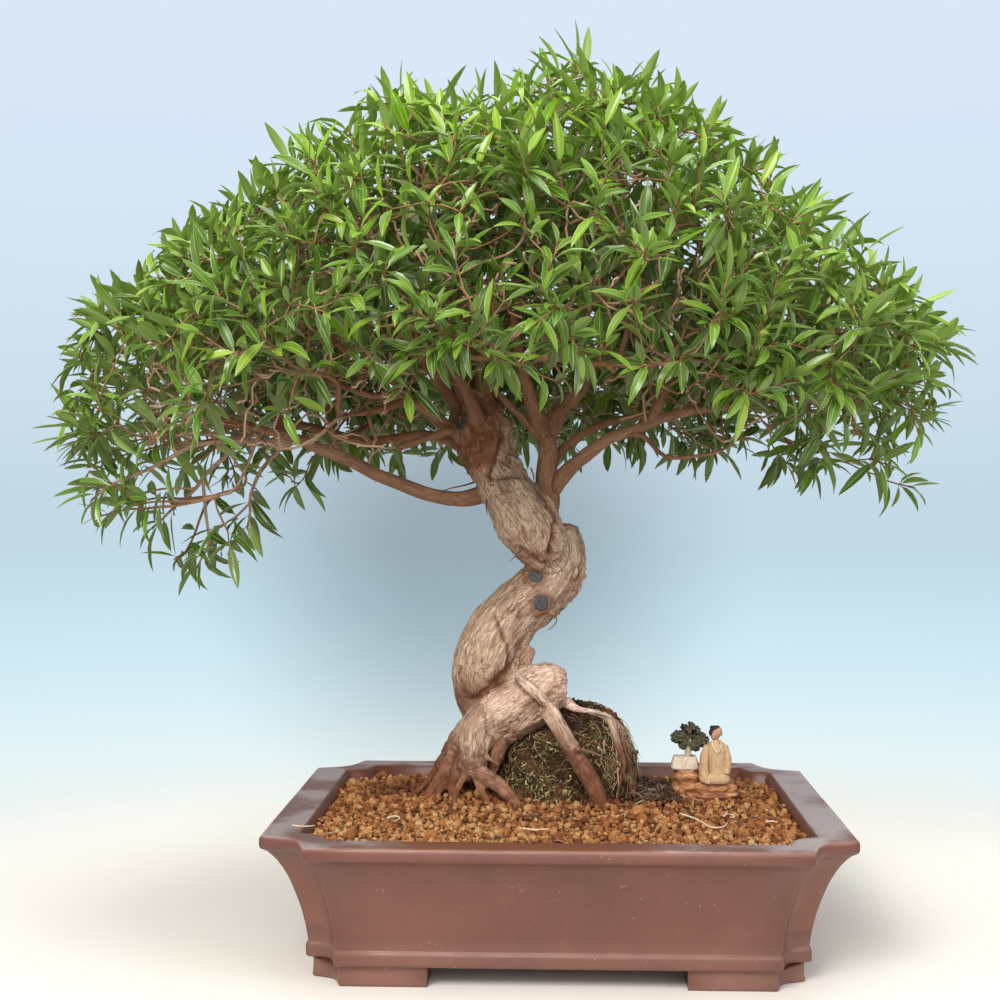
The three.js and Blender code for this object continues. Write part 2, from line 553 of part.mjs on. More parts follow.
function figureRock(grow = 0) {
  const left = boulder(124, 50, 108, 14.5 + grow, 14 + grow, 33.4, 11);
  const slab = boulder(150, 48, 108, 23 + grow, 17 + grow, 22.8, 12);
  return left.add(slab);
}

function figureMan() {
  const robe = turned([[0, 0], [12.5, 0], [14, 4], [11.8, 20], [9.6, 34], [5.5, 40], [0, 41.4]],
    8, { x: 152, y: 49, z: 131.15, wide: 1, deep: 0.86 });
  const neck = turned([[0, 0], [3, 0], [3, 6], [0, 6]], 6, { x: 152, y: 49, z: 170, wide: 1, deep: 1 });
  const head = turned([[0, 0], [4.4, 1.4], [6.6, 6.5], [4.6, 12], [0, 13.8]],
    8, { x: 152, y: 49, z: 172, wide: 1, deep: 1.04 });
  const leftSleeve = sweep([[143, 46, 163, 3], [140.5, 40, 154, 5.2], [142, 35.5, 145, 5.6], [146, 33.5, 141, 3.4]], 11, 6);
  const rightSleeve = sweep([[161, 46, 163, 3], [164, 40, 154, 5], [160.5, 35.5, 146, 5.2], [155, 33.5, 142, 3.4]], 11, 6);
  const knees = turned([[0, 0], [12, 0], [13, 3.5], [10.5, 8], [0, 9.5]], 8, { x: 151, y: 39, z: 131.15, wide: 1.05, deep: 0.62 });
  const knot = turned([[0, 0], [2, 0.6], [2.6, 2.4], [1.6, 4.2], [0, 4.6]], 6, { x: 151, y: 52, z: 183.5, wide: 1, deep: 1 });
  return join([robe, neck, head, leftSleeve, rightSleeve, knees, knot]);
}

function figureTree() {
  const planter = turned([[0, 0], [9, 0], [10.4, 3], [12.4, 11.5], [12.4, 13.6], [10.8, 13.6], [10.2, 12], [0, 12]],
    10, { x: 122, y: 50, z: 141.75, wide: 1, deep: 0.8 });
  const stem = sweep([[122, 50, 150, 3.8], [124.5, 50, 158, 3.2], [126, 50, 166, 3.2]], 8, 5);
  const lumps = [[121, 51, 168, 10], [130.5, 53, 169, 8], [126, 52, 178, 10]];
  return join([planter, stem, ...lumps.map(([x, y, z, r], k) => boulder(x, y, z - r * 0.75, r, r * 0.85, r * 1.5, 31 + k))]);
}

const swollenRock = figureRock(0.5);
const bed = soil().subtract(swollen).subtract(ball(0.8)).subtract(swollenRock);

// The bonsai stands with the middle of its own box over the origin, its feet on the ground
const group = new THREE.Group();
function add(name, body, color, roughness, raise = STANDING) {
  const mesh = new THREE.Mesh(geometryOf(body), new THREE.MeshStandardMaterial({ color, roughness, metalness: 0 }));
  mesh.name = name;
  mesh.position.z = raise;
  group.add(mesh);
}
add('pot', pot(), 0x85584e, 0.5, 0);
add('soil', bed, 0xb0834a, 0.95);
add('moss_ball', mossBall, 0x3a2f1c, 1);
add('tree', tree, 0x9c7f66, 0.85);
add('figure_rock', figureRock(), 0xb07a4c, 0.9);
add('figure_man', figureMan(), 0xd9b68c, 0.85);
add('figure_tree', figureTree(), 0x34403a, 0.9);
for (const spray of sprays) {
  const stems = spray.stems.map(({ points, radii }, k) => solid(loft(ringsAlong(points, radii, 3))));
  let body = join(stems);
  for (const leaf of spray.leaves) {
    const next = body.add(solid(blade(leaf)));
    if (finestEdge(next) >= Math.min(0.006, finestEdge(body)) && next.decompose().length === 1) body = next;
  }
  add(spray.name, body, 0x4f8a35, 0.4);
}
const box = new THREE.Box3().setFromObject(group);
const middle = box.getCenter(new THREE.Vector3());
group.position.set(-middle.x, -middle.y, -box.min.z);
export default group;
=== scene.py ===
"""Willow leaf fig bonsai in a long stoneware pot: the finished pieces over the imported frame."""
import math

import bpy
import numpy as np
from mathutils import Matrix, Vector, noise


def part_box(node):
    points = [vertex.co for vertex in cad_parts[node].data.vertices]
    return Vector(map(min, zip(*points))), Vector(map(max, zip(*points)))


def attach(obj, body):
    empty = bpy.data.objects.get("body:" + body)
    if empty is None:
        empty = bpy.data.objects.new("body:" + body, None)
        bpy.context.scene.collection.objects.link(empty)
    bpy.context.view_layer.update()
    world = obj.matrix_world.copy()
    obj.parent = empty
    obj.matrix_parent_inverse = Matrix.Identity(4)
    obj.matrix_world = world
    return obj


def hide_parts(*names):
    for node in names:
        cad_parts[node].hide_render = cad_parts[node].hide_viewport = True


bl_info = {
    "name": "Willow Leaf Fig Bonsai",
    "version": (1, 0, 0),
    "blender": (4, 5, 0),
    "location": "View3D > Sidebar > Bonsai",
    "description": "Builds the bark, leaves, soil, pot and mud figures of a fig bonsai over its frame",
    "category": "Object",
}

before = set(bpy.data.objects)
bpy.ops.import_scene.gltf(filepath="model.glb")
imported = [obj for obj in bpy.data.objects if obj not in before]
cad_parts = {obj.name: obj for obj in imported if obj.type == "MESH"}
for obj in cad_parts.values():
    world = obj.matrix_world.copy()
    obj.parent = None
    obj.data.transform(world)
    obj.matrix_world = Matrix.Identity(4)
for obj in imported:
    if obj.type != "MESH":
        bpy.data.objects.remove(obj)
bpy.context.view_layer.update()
POT_LOW, POT_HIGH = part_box("pot")
MM = 0.001
# The pot's middle, 4 mm over the ground, where the shapes below have their zero
HERE = np.array([(POT_LOW.x + POT_HIGH.x) / 2, (POT_LOW.y + POT_HIGH.y) / 2, POT_LOW.z + 4 * MM])

# Each sweep is a list of x, y, z, radius in millimetres
TRUNK = [
    [(-30, 82, 158, 33), (-42, 88, 177, 38), (-62, 78, 209, 37.4), (-67, 68, 241, 35.2), (-57, 60, 270, 31.1),
     (-39, 60, 294, 27.6), (-17, 64, 312, 28.6), (-2, 70, 332, 28.4), (2, 74, 356, 25.5), (3, 74, 377, 17)],
    [(-8, 54, 343, 19.3), (-16, 50, 357, 27), (-28, 48, 379, 29.9), (-44, 50, 403, 27), (-57, 54, 426, 23.2),
     (-68, 58, 449, 27.5), (-75, 60, 474, 28.5), (-77, 60, 496, 21.5), (-77, 60, 511, 13)],
]
ROOT_CROWN = [(5, 45, 220, 18.3), (-7, 42, 221, 24.9), (-24, 40, 212, 28.7), (-45, 40, 198, 28.7),
    (-68, 42, 180, 24.9), (-89, 46, 159, 20.2), (-105, 50, 136, 14.5), (-116, 52, 111, 8.7),
    (-122, 52, 96, 5)]
ROOTS = [
    [(-8.5, 8, 204.5, 8.3), (-5, 7, 199, 8.6), (2, 5, 188, 8.6), (15, 3, 166, 8.8), (27, 1, 146, 8.6),
     (37, 0, 127, 8.2), (46, 0, 101, 7)],
    [(-39, 26, 234, 3.0), (-30, 15, 228, 4.3), (-19, 10.5, 219, 4.7), (-9, 11, 209, 4.4), (-2, 16, 201, 3.8)],
    [(-70, 30, 196, 11), (-80, 20, 181, 12.8), (-81, 15, 166, 13.2), (-78, 13, 152, 10.6),
     (-69, 13, 143, 6.4)],
    [(-92, 18, 152, 4.7), (-82, 12, 149, 7), (-69, 6, 143, 8), (-54, 2, 134, 7.5), (-42, 0, 122, 6.1),
     (-29, 0, 104, 3.7)],
    [(-95, 38, 164, 7.7), (-105, 28, 147, 6.6), (-115, 24, 130, 6.2), (-125, 20, 115, 5.4),
     (-132, 20, 101, 4.4)],
    [(-87, 28, 158, 6.2), (-94, 20, 144, 5.7), (-98, 16, 128, 4.7), (-104, 14, 108, 3.3)],
    [(-102, 54, 157, 7.7), (-114, 64, 138, 6.8), (-127, 70, 119, 5.4), (-139, 74, 99, 3.9)],
    [(-61, 26, 185, 4.7), (-66, 18, 173, 5.2), (-69, 14, 162, 3.8), (-61, 10, 156, 1.9), (-54, 8, 152, 1.6)],
    [(8, 38, 208, 5.7), (20, 30, 202, 3.6), (35, 24, 201, 2.5), (51, 26, 195, 2.2), (59, 26, 179, 2.0),
     (66, 24, 159, 1.9), (71, 22, 138, 1.9), (75, 20, 107, 1.8)],
    [(12, -2, 167, 1.6), (23, -7, 170, 1.9), (38, -6, 165, 1.9), (53, 2, 157, 1.9), (65, 8, 141, 1.9),
     (78, 12, 106, 1.6)],
    [(-98, 34, 142, 4.2), (-110, 16, 128, 3.6), (-116, 4, 118, 3.0), (-120, -4, 106, 2.2)],
    [(-84, 16, 146, 4.4), (-92, 2, 134, 3.8), (-96, -6, 122, 3.2), (-94, -12, 108, 2.4)],
    [(-76, 14, 148, 4.6), (-74, 2, 136, 4.0), (-66, -8, 124, 3.2), (-60, -14, 108, 2.4)],
    [(-110, 46, 146, 4.4), (-128, 40, 126, 3.4), (-146, 34, 112, 2.6), (-156, 30, 104, 2)],
    [(48, 30, 196, 3.3), (54, 20, 182, 3.8), (58, 16, 168, 3.3), (63, 14, 152, 2.4), (57, 8, 130, 1.9),
     (55, 6, 105, 1.6)],
]
LIMBS = [
    [(-14, 58, 381, 12), (-9, 60, 401, 11.2), (-11, 60, 425, 10.2), (-9, 60, 451, 9.7), (-11, 60, 474, 8.6)],
    [(-11, 60, 462, 8.6), (-23, 56, 490, 6.8), (-30, 48, 513, 5.8), (-37, 30, 544, 4.8), (-43, 10, 580, 3.8)],
    [(-11, 60, 462, 8.6), (4, 66, 489, 7.8), (21, 74, 508, 6.9), (38, 86, 537, 5.9), (54, 100, 575, 5),
     (67, 112, 617, 4)],
    [(-8, 58, 406, 6.3), (10, 52, 429, 6.3), (30, 46, 446, 6.3), (52, 40, 461, 5.7), (79, 34, 470, 5.2),
     (100, 30, 479, 4.8), (126, 24, 485, 4.3), (157, 20, 489, 3.8), (193, 16, 495, 3.3)],
    [(88, 32, 474, 4.3), (98, 30, 498, 4.3), (106, 34, 530, 3.8), (117, 40, 569, 3.4)],
    [(-8, 62, 438, 4.4), (12, 80, 456, 3.9), (32, 96, 470, 4), (65, 120, 482, 3.5), (101, 150, 489, 3.1),
     (145, 180, 505, 2.8)],
    [(-63, 54, 411, 6.8), (-84, 52, 403, 7.2), (-108, 48, 403, 6.7), (-137, 42, 411, 6.7),
     (-169, 34, 424, 6.2),
     (-199, 28, 439, 6.2), (-232, 20, 453, 5.7), (-263, 16, 464, 4.7), (-299, 14, 471, 3.8)],
    [(-85, 66, 451, 4.9), (-115, 72, 462, 4.4), (-137, 80, 465, 4.4), (-166, 94, 461, 4.5),
     (-196, 110, 460, 4.5),
     (-227, 126, 468, 4.1), (-264, 144, 478, 3.6), (-307, 160, 485, 3.1)],
    [(-88, 46, 457, 4.8), (-111, 36, 477, 4.3), (-129, 24, 491, 4.3), (-144, 10, 493, 3.8),
     (-167, -16, 484, 3.2),
     (-191, -44, 478, 2.8)],
    [(-85, 56, 474, 7.7), (-104, 54, 502, 5.8), (-129, 52, 536, 5.3), (-164, 52, 573, 4.3),
     (-205, 54, 606, 3.4)],
    [(-82, 52, 483, 7.2), (-97, 34, 525, 5.7), (-114, 8, 572, 4.7), (-131, -18, 620, 3.7)],
    [(-79, 64, 493, 6.8), (-88, 82, 553, 5.9), (-99, 104, 616, 5), (-107, 124, 668, 4.1)],
    [(-73, 52, 488, 6.8), (-68, 24, 548, 5.7), (-62, -10, 600, 4.6), (-56, -38, 640, 3.6)],
    [(-70, 64, 490, 6.8), (-53, 94, 548, 6), (-36, 128, 609, 5.1), (-18, 158, 664, 4.1)],
    [(-70, 74, 474, 6.9), (-70, 120, 506, 5.6), (-79, 170, 536, 4.7), (-88, 220, 566, 3.8)],
    [(-76, 44, 473, 6.7), (-81, 0, 495, 5.1), (-92, -50, 517, 4), (-102, -100, 530, 3)],
]

BUTTRESS = [(-50, 36, 196, 10), (-53, 30, 180, 11.5), (-57, 27, 164, 9.5), (-61, 26, 148, 6),
    (-63, 28, 132, 3)]
KNOB = [(-37, 54, 240, 6), (-29, 52, 251, 8), (-24, 54, 258, 5)]
# Creases on the front of the trunk: x and z along them, width, depth, and darkness of the painted shade in
# them
CREASES = [
    ([(-51, 464), (-55, 453), (-58, 445), (-60, 437), (-64, 430), (-68, 421)], 2.6, 3.6, 1.0),
    ([(-68, 421), (-57, 421), (-46, 424), (-35, 423)], 1.5, 2.4, 0.9),
    ([(-8, 396), (-1, 385), (-2, 375), (-3, 366), (-5, 360), (-7, 350)], 2.4, 7.0, 1.0),
    ([(-36, 355), (-22, 344), (-12, 339), (-7, 348)], 2.2, 3.0, 0.85),
    ([(-60, 290), (-52, 270), (-47, 260), (-46, 250), (-48, 236), (-62, 222), (-80, 208)], 2.0, 3.6, 0.95),
    ([(-42, 245), (-53, 234), (-65, 223), (-84, 208)], 3.4, 2.4, 0.9),
    ([(-43, 322), (-39, 305), (-35, 286)], 1.3, 1.8, 0.55),
    ([(-34, 336), (-31, 318), (-27, 300)], 1.2, 1.2, 0.3),
    ([(-29, 384), (-22, 368), (-19, 352)], 1.2, 1.1, 0.3),
    ([(-41, 229), (-27, 216), (-15, 206)], 1.4, 1.8, 0.7),
]
# Swellings and hollows of the trunk: x, z, half widths, height, darkness of the painted shade in them, change
# of tone
SWELLS = [
    (-74, 243, 24, 40, 1.8, 0, 0.08), (-38, 264, 7, 24, -2.4, 0.1, -0.16), (-58, 227, 13, 9, -1.4, 0.9, 0),
     (-25, 346, 20, 9, -0.5, 0.3, -0.3), (-90, 204, 18, 15, 0, 0.12, -0.22),
    (-12, 292, 22, 6, 0, 0.1, -0.25), (-52, 370, 9, 13, 3.0, 0, 0), (-16, 410, 9, 24, -2.6, 0, 0),
     (-36, 452, 5, 4, 3.5, 0, 0),
    (-44, 473, 7, 5, 3.5, 0.2, -0.1), (18, 301, 4, 4, 2.6, 0, -0.2), (-25, 210, 40, 32, 0, 0, -0.14),
     (-78, 449, 14, 22, 2.4, 0.1, -0.15), (4, 318, 12, 9, 0, 0, -0.12),
]

# Crown, measured to the tips of the twigs
HUB = np.array([-60.0, 55.0, 480.0])
CROWN = dict(x=-53, y=50, a=406, b=256)
EQUATOR = dict(left=480, right=535, front=560, back=520)
SKIRT = dict(left=352, right=420, front=500, back=455)
RIDGE = [(-458, 535), (-435, 586), (-385, 604), (-330, 652), (-270, 690), (-200, 748), (-141, 776),
    (-56, 772), (2, 804), (73, 788), (111, 764), (175, 720), (235, 670), (280, 612), (325, 572), (358, 545)]
# Bare branches that show under and in front of the crown, a few of them with leaves at the end
SIDE_BRANCHES = [
    [(-236, 18, 456, 3.4), (-300, 20, 458, 2.8), (-343, 26, 464, 2.3), (-391, 34, 462, 1.7),
     (-444, 40, 466, 1.1)],
    [(-305, 20, 457, 2.4), (-339, 10, 453, 2.1), (-382, -4, 432, 1.7), (-411, -12, 418, 1.4),
     (-430, -16, 404, 1.0)],
    [(-285, 22, 468, 2.4), (-310, 38, 452, 2.3), (-339, 50, 427, 2.1), (-353, 56, 411, 1.8),
     (-377, 62, 393, 1.4), (-396, 64, 375, 1.0)],
    [(-345, 52, 420, 1.8), (-343, 58, 384, 1.5), (-342, 60, 357, 1.2), (-351, 60, 338, 0.9)],
    [(-257, 20, 459, 2.4), (-284, 40, 430, 2.0), (-298, 52, 404, 1.6), (-302, 58, 377, 1.0)],
    [(-350, 54, 413, 1.3), (-377, 44, 411, 1.1), (-403, 36, 408, 0.8)],
    [(-296, 50, 400, 1.3), (-319, 66, 382, 1.1), (-339, 74, 370, 0.8)],
    [(-111, 46, 470, 4.4), (-131, 40, 492, 4.0), (-151, 38, 501, 3.6), (-180, 36, 500, 3.2),
     (-208, 34, 511, 2.6), (-246, 30, 526, 1.9)],
    [(-100, 34, 468, 4.2), (-118, 24, 462, 3.6), (-147, 14, 451, 3.3), (-149, 13, 450, 3.1)],
    [(-66, 52, 512, 4.2), (-52, 50, 498, 3.8), (-35, 52, 480, 3.6), (-20, 56, 464, 3.4)],
    [(60, 38, 464, 2.8), (80, 30, 462, 2.4), (103, 26, 442, 2.0), (130, 24, 443, 1.7), (157, 22, 450, 1.4),
     (172, 20, 460, 1.1)],
    [(-70, 30, 500, 2.4), (-110, -20, 516, 2.0), (-140, -60, 520, 1.6), (-190, -84, 512, 1.1)],
]
OUTLINE_TIPS = [(-461, 48, 462), (-440, 30, 566), (-425, 70, 398), (-372, 62, 345), (-322, 40, 356),
    (-352, 60, 660), (-238, 52, 715), (-150, 44, 776), (2, 56, 800), (88, 60, 782), (236, 44, 672),
    (357, 50, 545), (338, 60, 414), (296, 40, 440), (-60, -206, 524), (60, -196, 560), (-70, 306, 520),
    (120, 60, 466)]
SPRAY_SPOTS = ([(30 * k, 97) for k in range(12)] + [(20 + 40 * k, 60) for k in range(9)]
    + [(25 + 72 * k, 25) for k in range(5)] + [(168, 113), (194, 115)])
SPRAY_REACH = 0.74
BOUGH_RADIUS = 2.7

BALL = dict(x=12, y=72, z=116, rx=70, ry=64, up=85, down=16)
# Roundness of the ball: 2 is a plain egg, more is boxier
BALL_POWER = 2.6
# Level of the grains at the wall, their rise at the tree, and the edge of the bed under them
SOIL_LEVEL = 113
SOIL_RISE = 7
BED_EDGE = 111.0


class BonsaiSizes(bpy.types.PropertyGroup):
    """Counts and sizes that change how full and how fine the bonsai is"""
    twig_tips: bpy.props.IntProperty(name="Twig tips", description="Leafy twig ends on the crown",
        default=900, min=60, max=1200)
    inner_tips: bpy.props.IntProperty(name="Inner twig tips", description="Leafy twig ends inside the crown",
        default=380, min=0, max=900)
    leaf_length: bpy.props.FloatProperty(name="Leaf length", description="Length of a full grown leaf",
        default=0.043, min=0.03, max=0.08, unit="LENGTH")
    leaf_width: bpy.props.FloatProperty(name="Leaf width", description="Width of a full grown leaf",
        default=0.0099, min=0.005, max=0.02, unit="LENGTH")
    bark_voxel: bpy.props.FloatProperty(name="Bark detail", description="Size of the bark's smallest facets",
        default=0.00187, min=0.001, max=0.005, unit="LENGTH")
    furrow_depth: bpy.props.FloatProperty(name="Furrow depth", description="Depth of the bark's furrows",
        default=0.0013, min=0.0, max=0.004, unit="LENGTH")
    grain_size: bpy.props.FloatProperty(name="Grain size", description="Mean size of a soil grain",
        default=0.0052, min=0.003, max=0.009, unit="LENGTH")
    grains: bpy.props.IntProperty(name="Grains", description="Grains on the soil", default=5200, min=500,
        max=8000)


class BonsaiColours(bpy.types.PropertyGroup):
    """Base colours of the finishes"""
    stoneware: bpy.props.FloatVectorProperty(name="Stoneware", description="Unglazed pot", subtype="COLOR",
        size=3, min=0, max=1, default=(0.140, 0.0495, 0.0365))
    bark: bpy.props.FloatVectorProperty(name="Bark", description="Old bark of the trunk", subtype="COLOR",
        size=3, min=0, max=1, default=(0.645, 0.483, 0.363))
    young_bark: bpy.props.FloatVectorProperty(name="Young bark", description="Bark of limbs and twigs",
        subtype="COLOR", size=3, min=0, max=1, default=(0.36, 0.165, 0.078))
    leaf: bpy.props.FloatVectorProperty(name="Leaf", description="Full grown leaf", subtype="COLOR", size=3,
        min=0, max=1, default=(0.122, 0.25, 0.013))
    clay: bpy.props.FloatVectorProperty(name="Clay grain", description="Dry soil grain", subtype="COLOR",
        size=3, min=0, max=1, default=(0.362, 0.137, 0.0375))
    peat: bpy.props.FloatVectorProperty(name="Peat", description="Ball under the tree", subtype="COLOR",
        size=3, min=0, max=1, default=(0.135, 0.056, 0.022))


# Shapes


def unit(v):
    return v / np.maximum(np.linalg.norm(v, axis=-1, keepdims=True), 1e-9)


def turns(count):
    """Angles set evenly round a circle."""
    return np.linspace(0, 2 * np.pi, count, endpoint=False)


def hump(*pairs):
    """One at a place and fading round it: each pair is a distance and its reach."""
    return np.exp(-sum((far / reach) ** 2 for far, reach in zip(pairs[::2], pairs[1::2])))


def soft_noise(points, scale):
    return np.array([noise.noise(Vector(p * scale)) for p in points])


def rough_noise(points, scale, *kind):
    """Noise of several octaves; its kind is roughness, spacing of the octaves and their number."""
    return np.array([noise.fractal(Vector(p * scale), *kind) for p in points])


def ring_quads(count, around):
    """Faces between rings of points that follow one another."""
    k, i = np.meshgrid(np.arange(count - 1), np.arange(around), indexing="ij")
    j = (i + 1) % around
    quads = [k * around + i, k * around + j, (k + 1) * around + j, (k + 1) * around + i]
    return np.stack(quads, -1).reshape(-1, 4)


def fan(around, base, centre, turned_over=False):
    """Triangles from a ring of points to its middle."""
    i = np.arange(around)
    j = (i + 1) % around
    first, second = (j, i) if turned_over else (i, j)
    return np.stack([base + first, base + second, np.full(around, centre)], -1)


class Shape:
    """Vertices in millimetres, faces and per-vertex values, gathered into one mesh."""

    def __init__(self):
        self.points, self.faces, self.kinds, self.values, self.count = [], [], [], {}, 0

    def add(self, points, faces, kind=0, **values):
        points = np.asarray(points, float).reshape(-1, 3)
        n = len(points)
        for block in faces if isinstance(faces, list) else [faces]:
            block = np.asarray(block, int)
            if len(block):
                self.faces.append(block + self.count)
                self.kinds.append(np.full(len(block), kind))
        for key, value in values.items():
            value = np.asarray(value, float)
            if value.ndim < 2:
                value = np.broadcast_to(value, (n, 3) if value.ndim == 1 and len(value) == 3 else (n,))
            self.values.setdefault(key, []).append((self.count, value))
        self.points.append(points)
        self.count += n
        return self

    def mesh(self, name, smooth=True):
        points = np.concatenate(self.points) * MM + HERE
        mesh = bpy.data.meshes.new(name)
        mesh.vertices.add(len(points))
        mesh.vertices.foreach_set("co", points.astype(np.float32).ravel())
        loops = np.concatenate([f.ravel() for f in self.faces])
        sizes = np.concatenate([np.full(len(f), f.shape[1]) for f in self.faces])
        mesh.loops.add(len(loops))
        mesh.loops.foreach_set("vertex_index", loops.astype(np.int32))
        mesh.polygons.add(len(sizes))
        mesh.polygons.foreach_set("loop_start", np.concatenate([[0], np.cumsum(sizes)[:-1]]).astype(np.int32))
        mesh.polygons.foreach_set("material_index", np.concatenate(self.kinds).astype(np.int32))
        mesh.polygons.foreach_set("use_smooth", np.full(len(sizes), smooth))
        for key, blocks in self.values.items():
            wide = blocks[0][1].ndim == 2
            data = np.zeros((len(points), 3) if wide else len(points), np.float32)
            for start, value in blocks:
                data[start:start + len(value)] = value
            attribute = mesh.attributes.new(key, "FLOAT_VECTOR" if wide else "FLOAT", "POINT")
            attribute.data.foreach_set("vector" if wide else "value", data.ravel())
        mesh.update(calc_edges=True)
        mesh.validate()
        return mesh

    def show(self, name, materials, slot, *replaced, smooth=True):
        show(name, self.mesh(name, smooth), materials, slot, *replaced)


def show(name, mesh, materials, slot, *replaced):
    """Put a mesh in the scene, on the part's one body."""
    piece = bpy.data.objects.new(name, mesh)
    bpy.context.scene.collection.objects.link(piece)
    for material in materials:
        mesh.materials.append(material)
    if replaced:
        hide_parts(*replaced)
    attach(piece, "root")


def catmull(points, u):
    """Centripetal Catmull-Rom curve through the points at the fractions u."""
    p = np.asarray(points, float)
    ends = np.vstack([2 * p[0] - p[1], p, 2 * p[-1] - p[-2]])
    t = np.clip(np.asarray(u) * (len(p) - 1), 0, len(p) - 1)
    i = np.minimum(t.astype(int), len(p) - 2)
    w = (t - i)[:, None]
    p0, p1, p2, p3 = (ends[i + k] for k in range(4))
    gaps = [b - a for a, b in ((p0, p1), (p1, p2), (p2, p3))]
    d0, d1, d2 = (np.maximum(np.linalg.norm(gap, axis=1, keepdims=True) ** 0.5, 1e-3) for gap in gaps)
    t1 = ((p1 - p0) / d0 - (p2 - p0) / (d0 + d1) + (p2 - p1) / d1) * d1
    t2 = ((p2 - p1) / d1 - (p3 - p1) / (d1 + d2) + (p3 - p2) / d2) * d1
    return p1 + w * (t1 + w * ((-3 * p1 + 3 * p2 - 2 * t1 - t2) + w * (2 * p1 - 2 * p2 + t1 + t2)))


def resample(stations, step):
    s = np.asarray(stations, float)
    fine = catmull(s[:, :3], np.linspace(0, 1, 201))
    length = np.linalg.norm(np.diff(fine, axis=0), axis=1).sum()
    count = max(2, round(length / step))
    u = np.linspace(0, 1, count + 1)
    return catmull(s[:, :3], u), np.interp(u * (len(s) - 1), np.arange(len(s)), s[:, 3])


def lengths_along(points):
    return np.concatenate([[0], np.cumsum(np.linalg.norm(np.diff(points, axis=0), axis=1))])


def frames_along(points):
    """Directions along a path, and two sides carried along it without twisting."""
    way = unit(np.gradient(points, axis=0))
    side = np.zeros_like(way)
    last = np.array([0, 0, 1.0]) if abs(way[0, 2]) < 0.8 else np.array([1.0, 0, 0])
    for k, d in enumerate(way):
        last = last - d * last.dot(d)
        last = last / max(np.linalg.norm(last), 1e-9)
        side[k] = last
    return way, side, np.cross(way, side)


def tube(shape, points, radii, sides, kind=0, wobble=0.0, tone=None, seed=0):
    """Round skin along a path; its grain value holds the place around and along it, for the bark."""
    points = np.asarray(points, float)
    radii = np.broadcast_to(np.asarray(radii, float), len(points))
    _, side, up = frames_along(points)
    angle = turns(sides)
    swing = 3 * angle[None] + seed + np.arange(len(points))[:, None] * 0.8
    reach = radii[:, None] * (1 + wobble * np.sin(swing))
    a, b = reach * np.cos(angle), reach * np.sin(angle)
    rings = points[:, None] + a[..., None] * side[:, None] + b[..., None] * up[:, None]
    run = lengths_along(points)
    grain = np.stack([a, b, np.broadcast_to(run[:, None], a.shape)], -1)
    n = len(points)
    verts = np.vstack([rings.reshape(-1, 3), points[0], points[-1]])
    values = np.vstack([grain.reshape(-1, 3), [[0, 0, run[0]], [0, 0, run[-1]]]])
    faces = [ring_quads(n, sides), fan(sides, 0, n * sides, True), fan(sides, (n - 1) * sides, n * sides + 1)]
    tones = {} if tone is None else {"tone": np.full(len(verts), float(tone))}
    shape.add(verts, faces, kind, grain=values + [seed * 37.0, seed * 11.0, 0], **tones)


def swept(shape, stations, step, sides, kind=0, **more):
    """Tube along a list of stations."""
    points, radii = resample(stations, step)
    tube(shape, points, radii, sides, kind, **more)


# Tree skeleton


class Skeleton:
    """Points that a new branch can spring from, with their directions, radii and owners."""

    def __init__(self):
        self.p, self.d, self.r = {}, {}, {}

    def add(self, points, radii, owner, skip=0):
        final = len(points) - 1
        way = np.array([points[min(final, k + 1)] - points[max(0, k - 1)] for k in range(len(points))])
        for store, new in ((self.p, points), (self.d, unit(way)), (self.r, radii)):
            old = store.get(owner)
            new = np.asarray(new)[skip:]
            store[owner] = new if old is None else np.concatenate([old, new])

    def branch(self, target, heading, tip_radius, owner, pitch, fine):
        p, d, r = self.p[owner], self.d[owner], self.r[owner]
        way = target - p
        far = np.linalg.norm(way, axis=1)
        cost = far * (1.5 - 0.75 * (d * way).sum(1) / np.maximum(far, 1e-6)) + np.where(far < 6, 1e9, 0)
        best = int(np.argmin(cost))
        span = far[best]
        start = max(tip_radius, min(r[best] * 0.85, tip_radius + span * 0.012))
        knots = [p[best], p[best] + d[best] * span * 0.3, target - heading * span * 0.35, target]

        def sample(count):
            t = np.linspace(0, 1, count + 1)[:, None]
            path = ((1 - t) ** 3 * knots[0] + 3 * (1 - t) ** 2 * t * knots[1] + 3 * (1 - t) * t * t * knots[2]
                + t ** 3 * knots[3])
            return path, start + (tip_radius - start) * t[:, 0]

        coarse = sample(max(2, round(span / pitch)))
        self.add(*coarse, owner, 1)
        return sample(max(3, round(span / fine)))


def along(line, x):
    return np.interp(x, [p[0] for p in line], [p[1] for p in line])


def shell(theta, phi):
    """Point on the crown at an angle round it and an angle down from the top."""
    c, s, rho = math.cos(theta), math.sin(theta), math.sin(phi)
    x, y = CROWN["x"] + CROWN["a"] * rho * c, CROWN["y"] + CROWN["b"] * rho * s

    def blend(level):
        return c * c * level["right" if c > 0 else "left"] + s * s * level["back" if s > 0 else "front"]

    equator = blend(EQUATOR)
    if phi > math.pi / 2:
        return np.array([x, y, equator + (equator - blend(SKIRT)) * 2 * math.cos(phi)])
    v = rho * s / math.sqrt(max(1e-6, 1 - (rho * c) ** 2))
    return np.array([x, y, equator + (along(RIDGE, x) - equator) * math.sqrt(max(0, 1 - v * v))])


def outward(p):
    w = np.array([(p[0] - CROWN["x"]) / CROWN["a"] ** 1.6, (p[1] - CROWN["y"]) / CROWN["b"] ** 1.6,
        (p[2] - 470) / 300 ** 1.6])
    return unit(unit(w) + [0, 0, 0.35 if p[2] > 560 else -0.1])


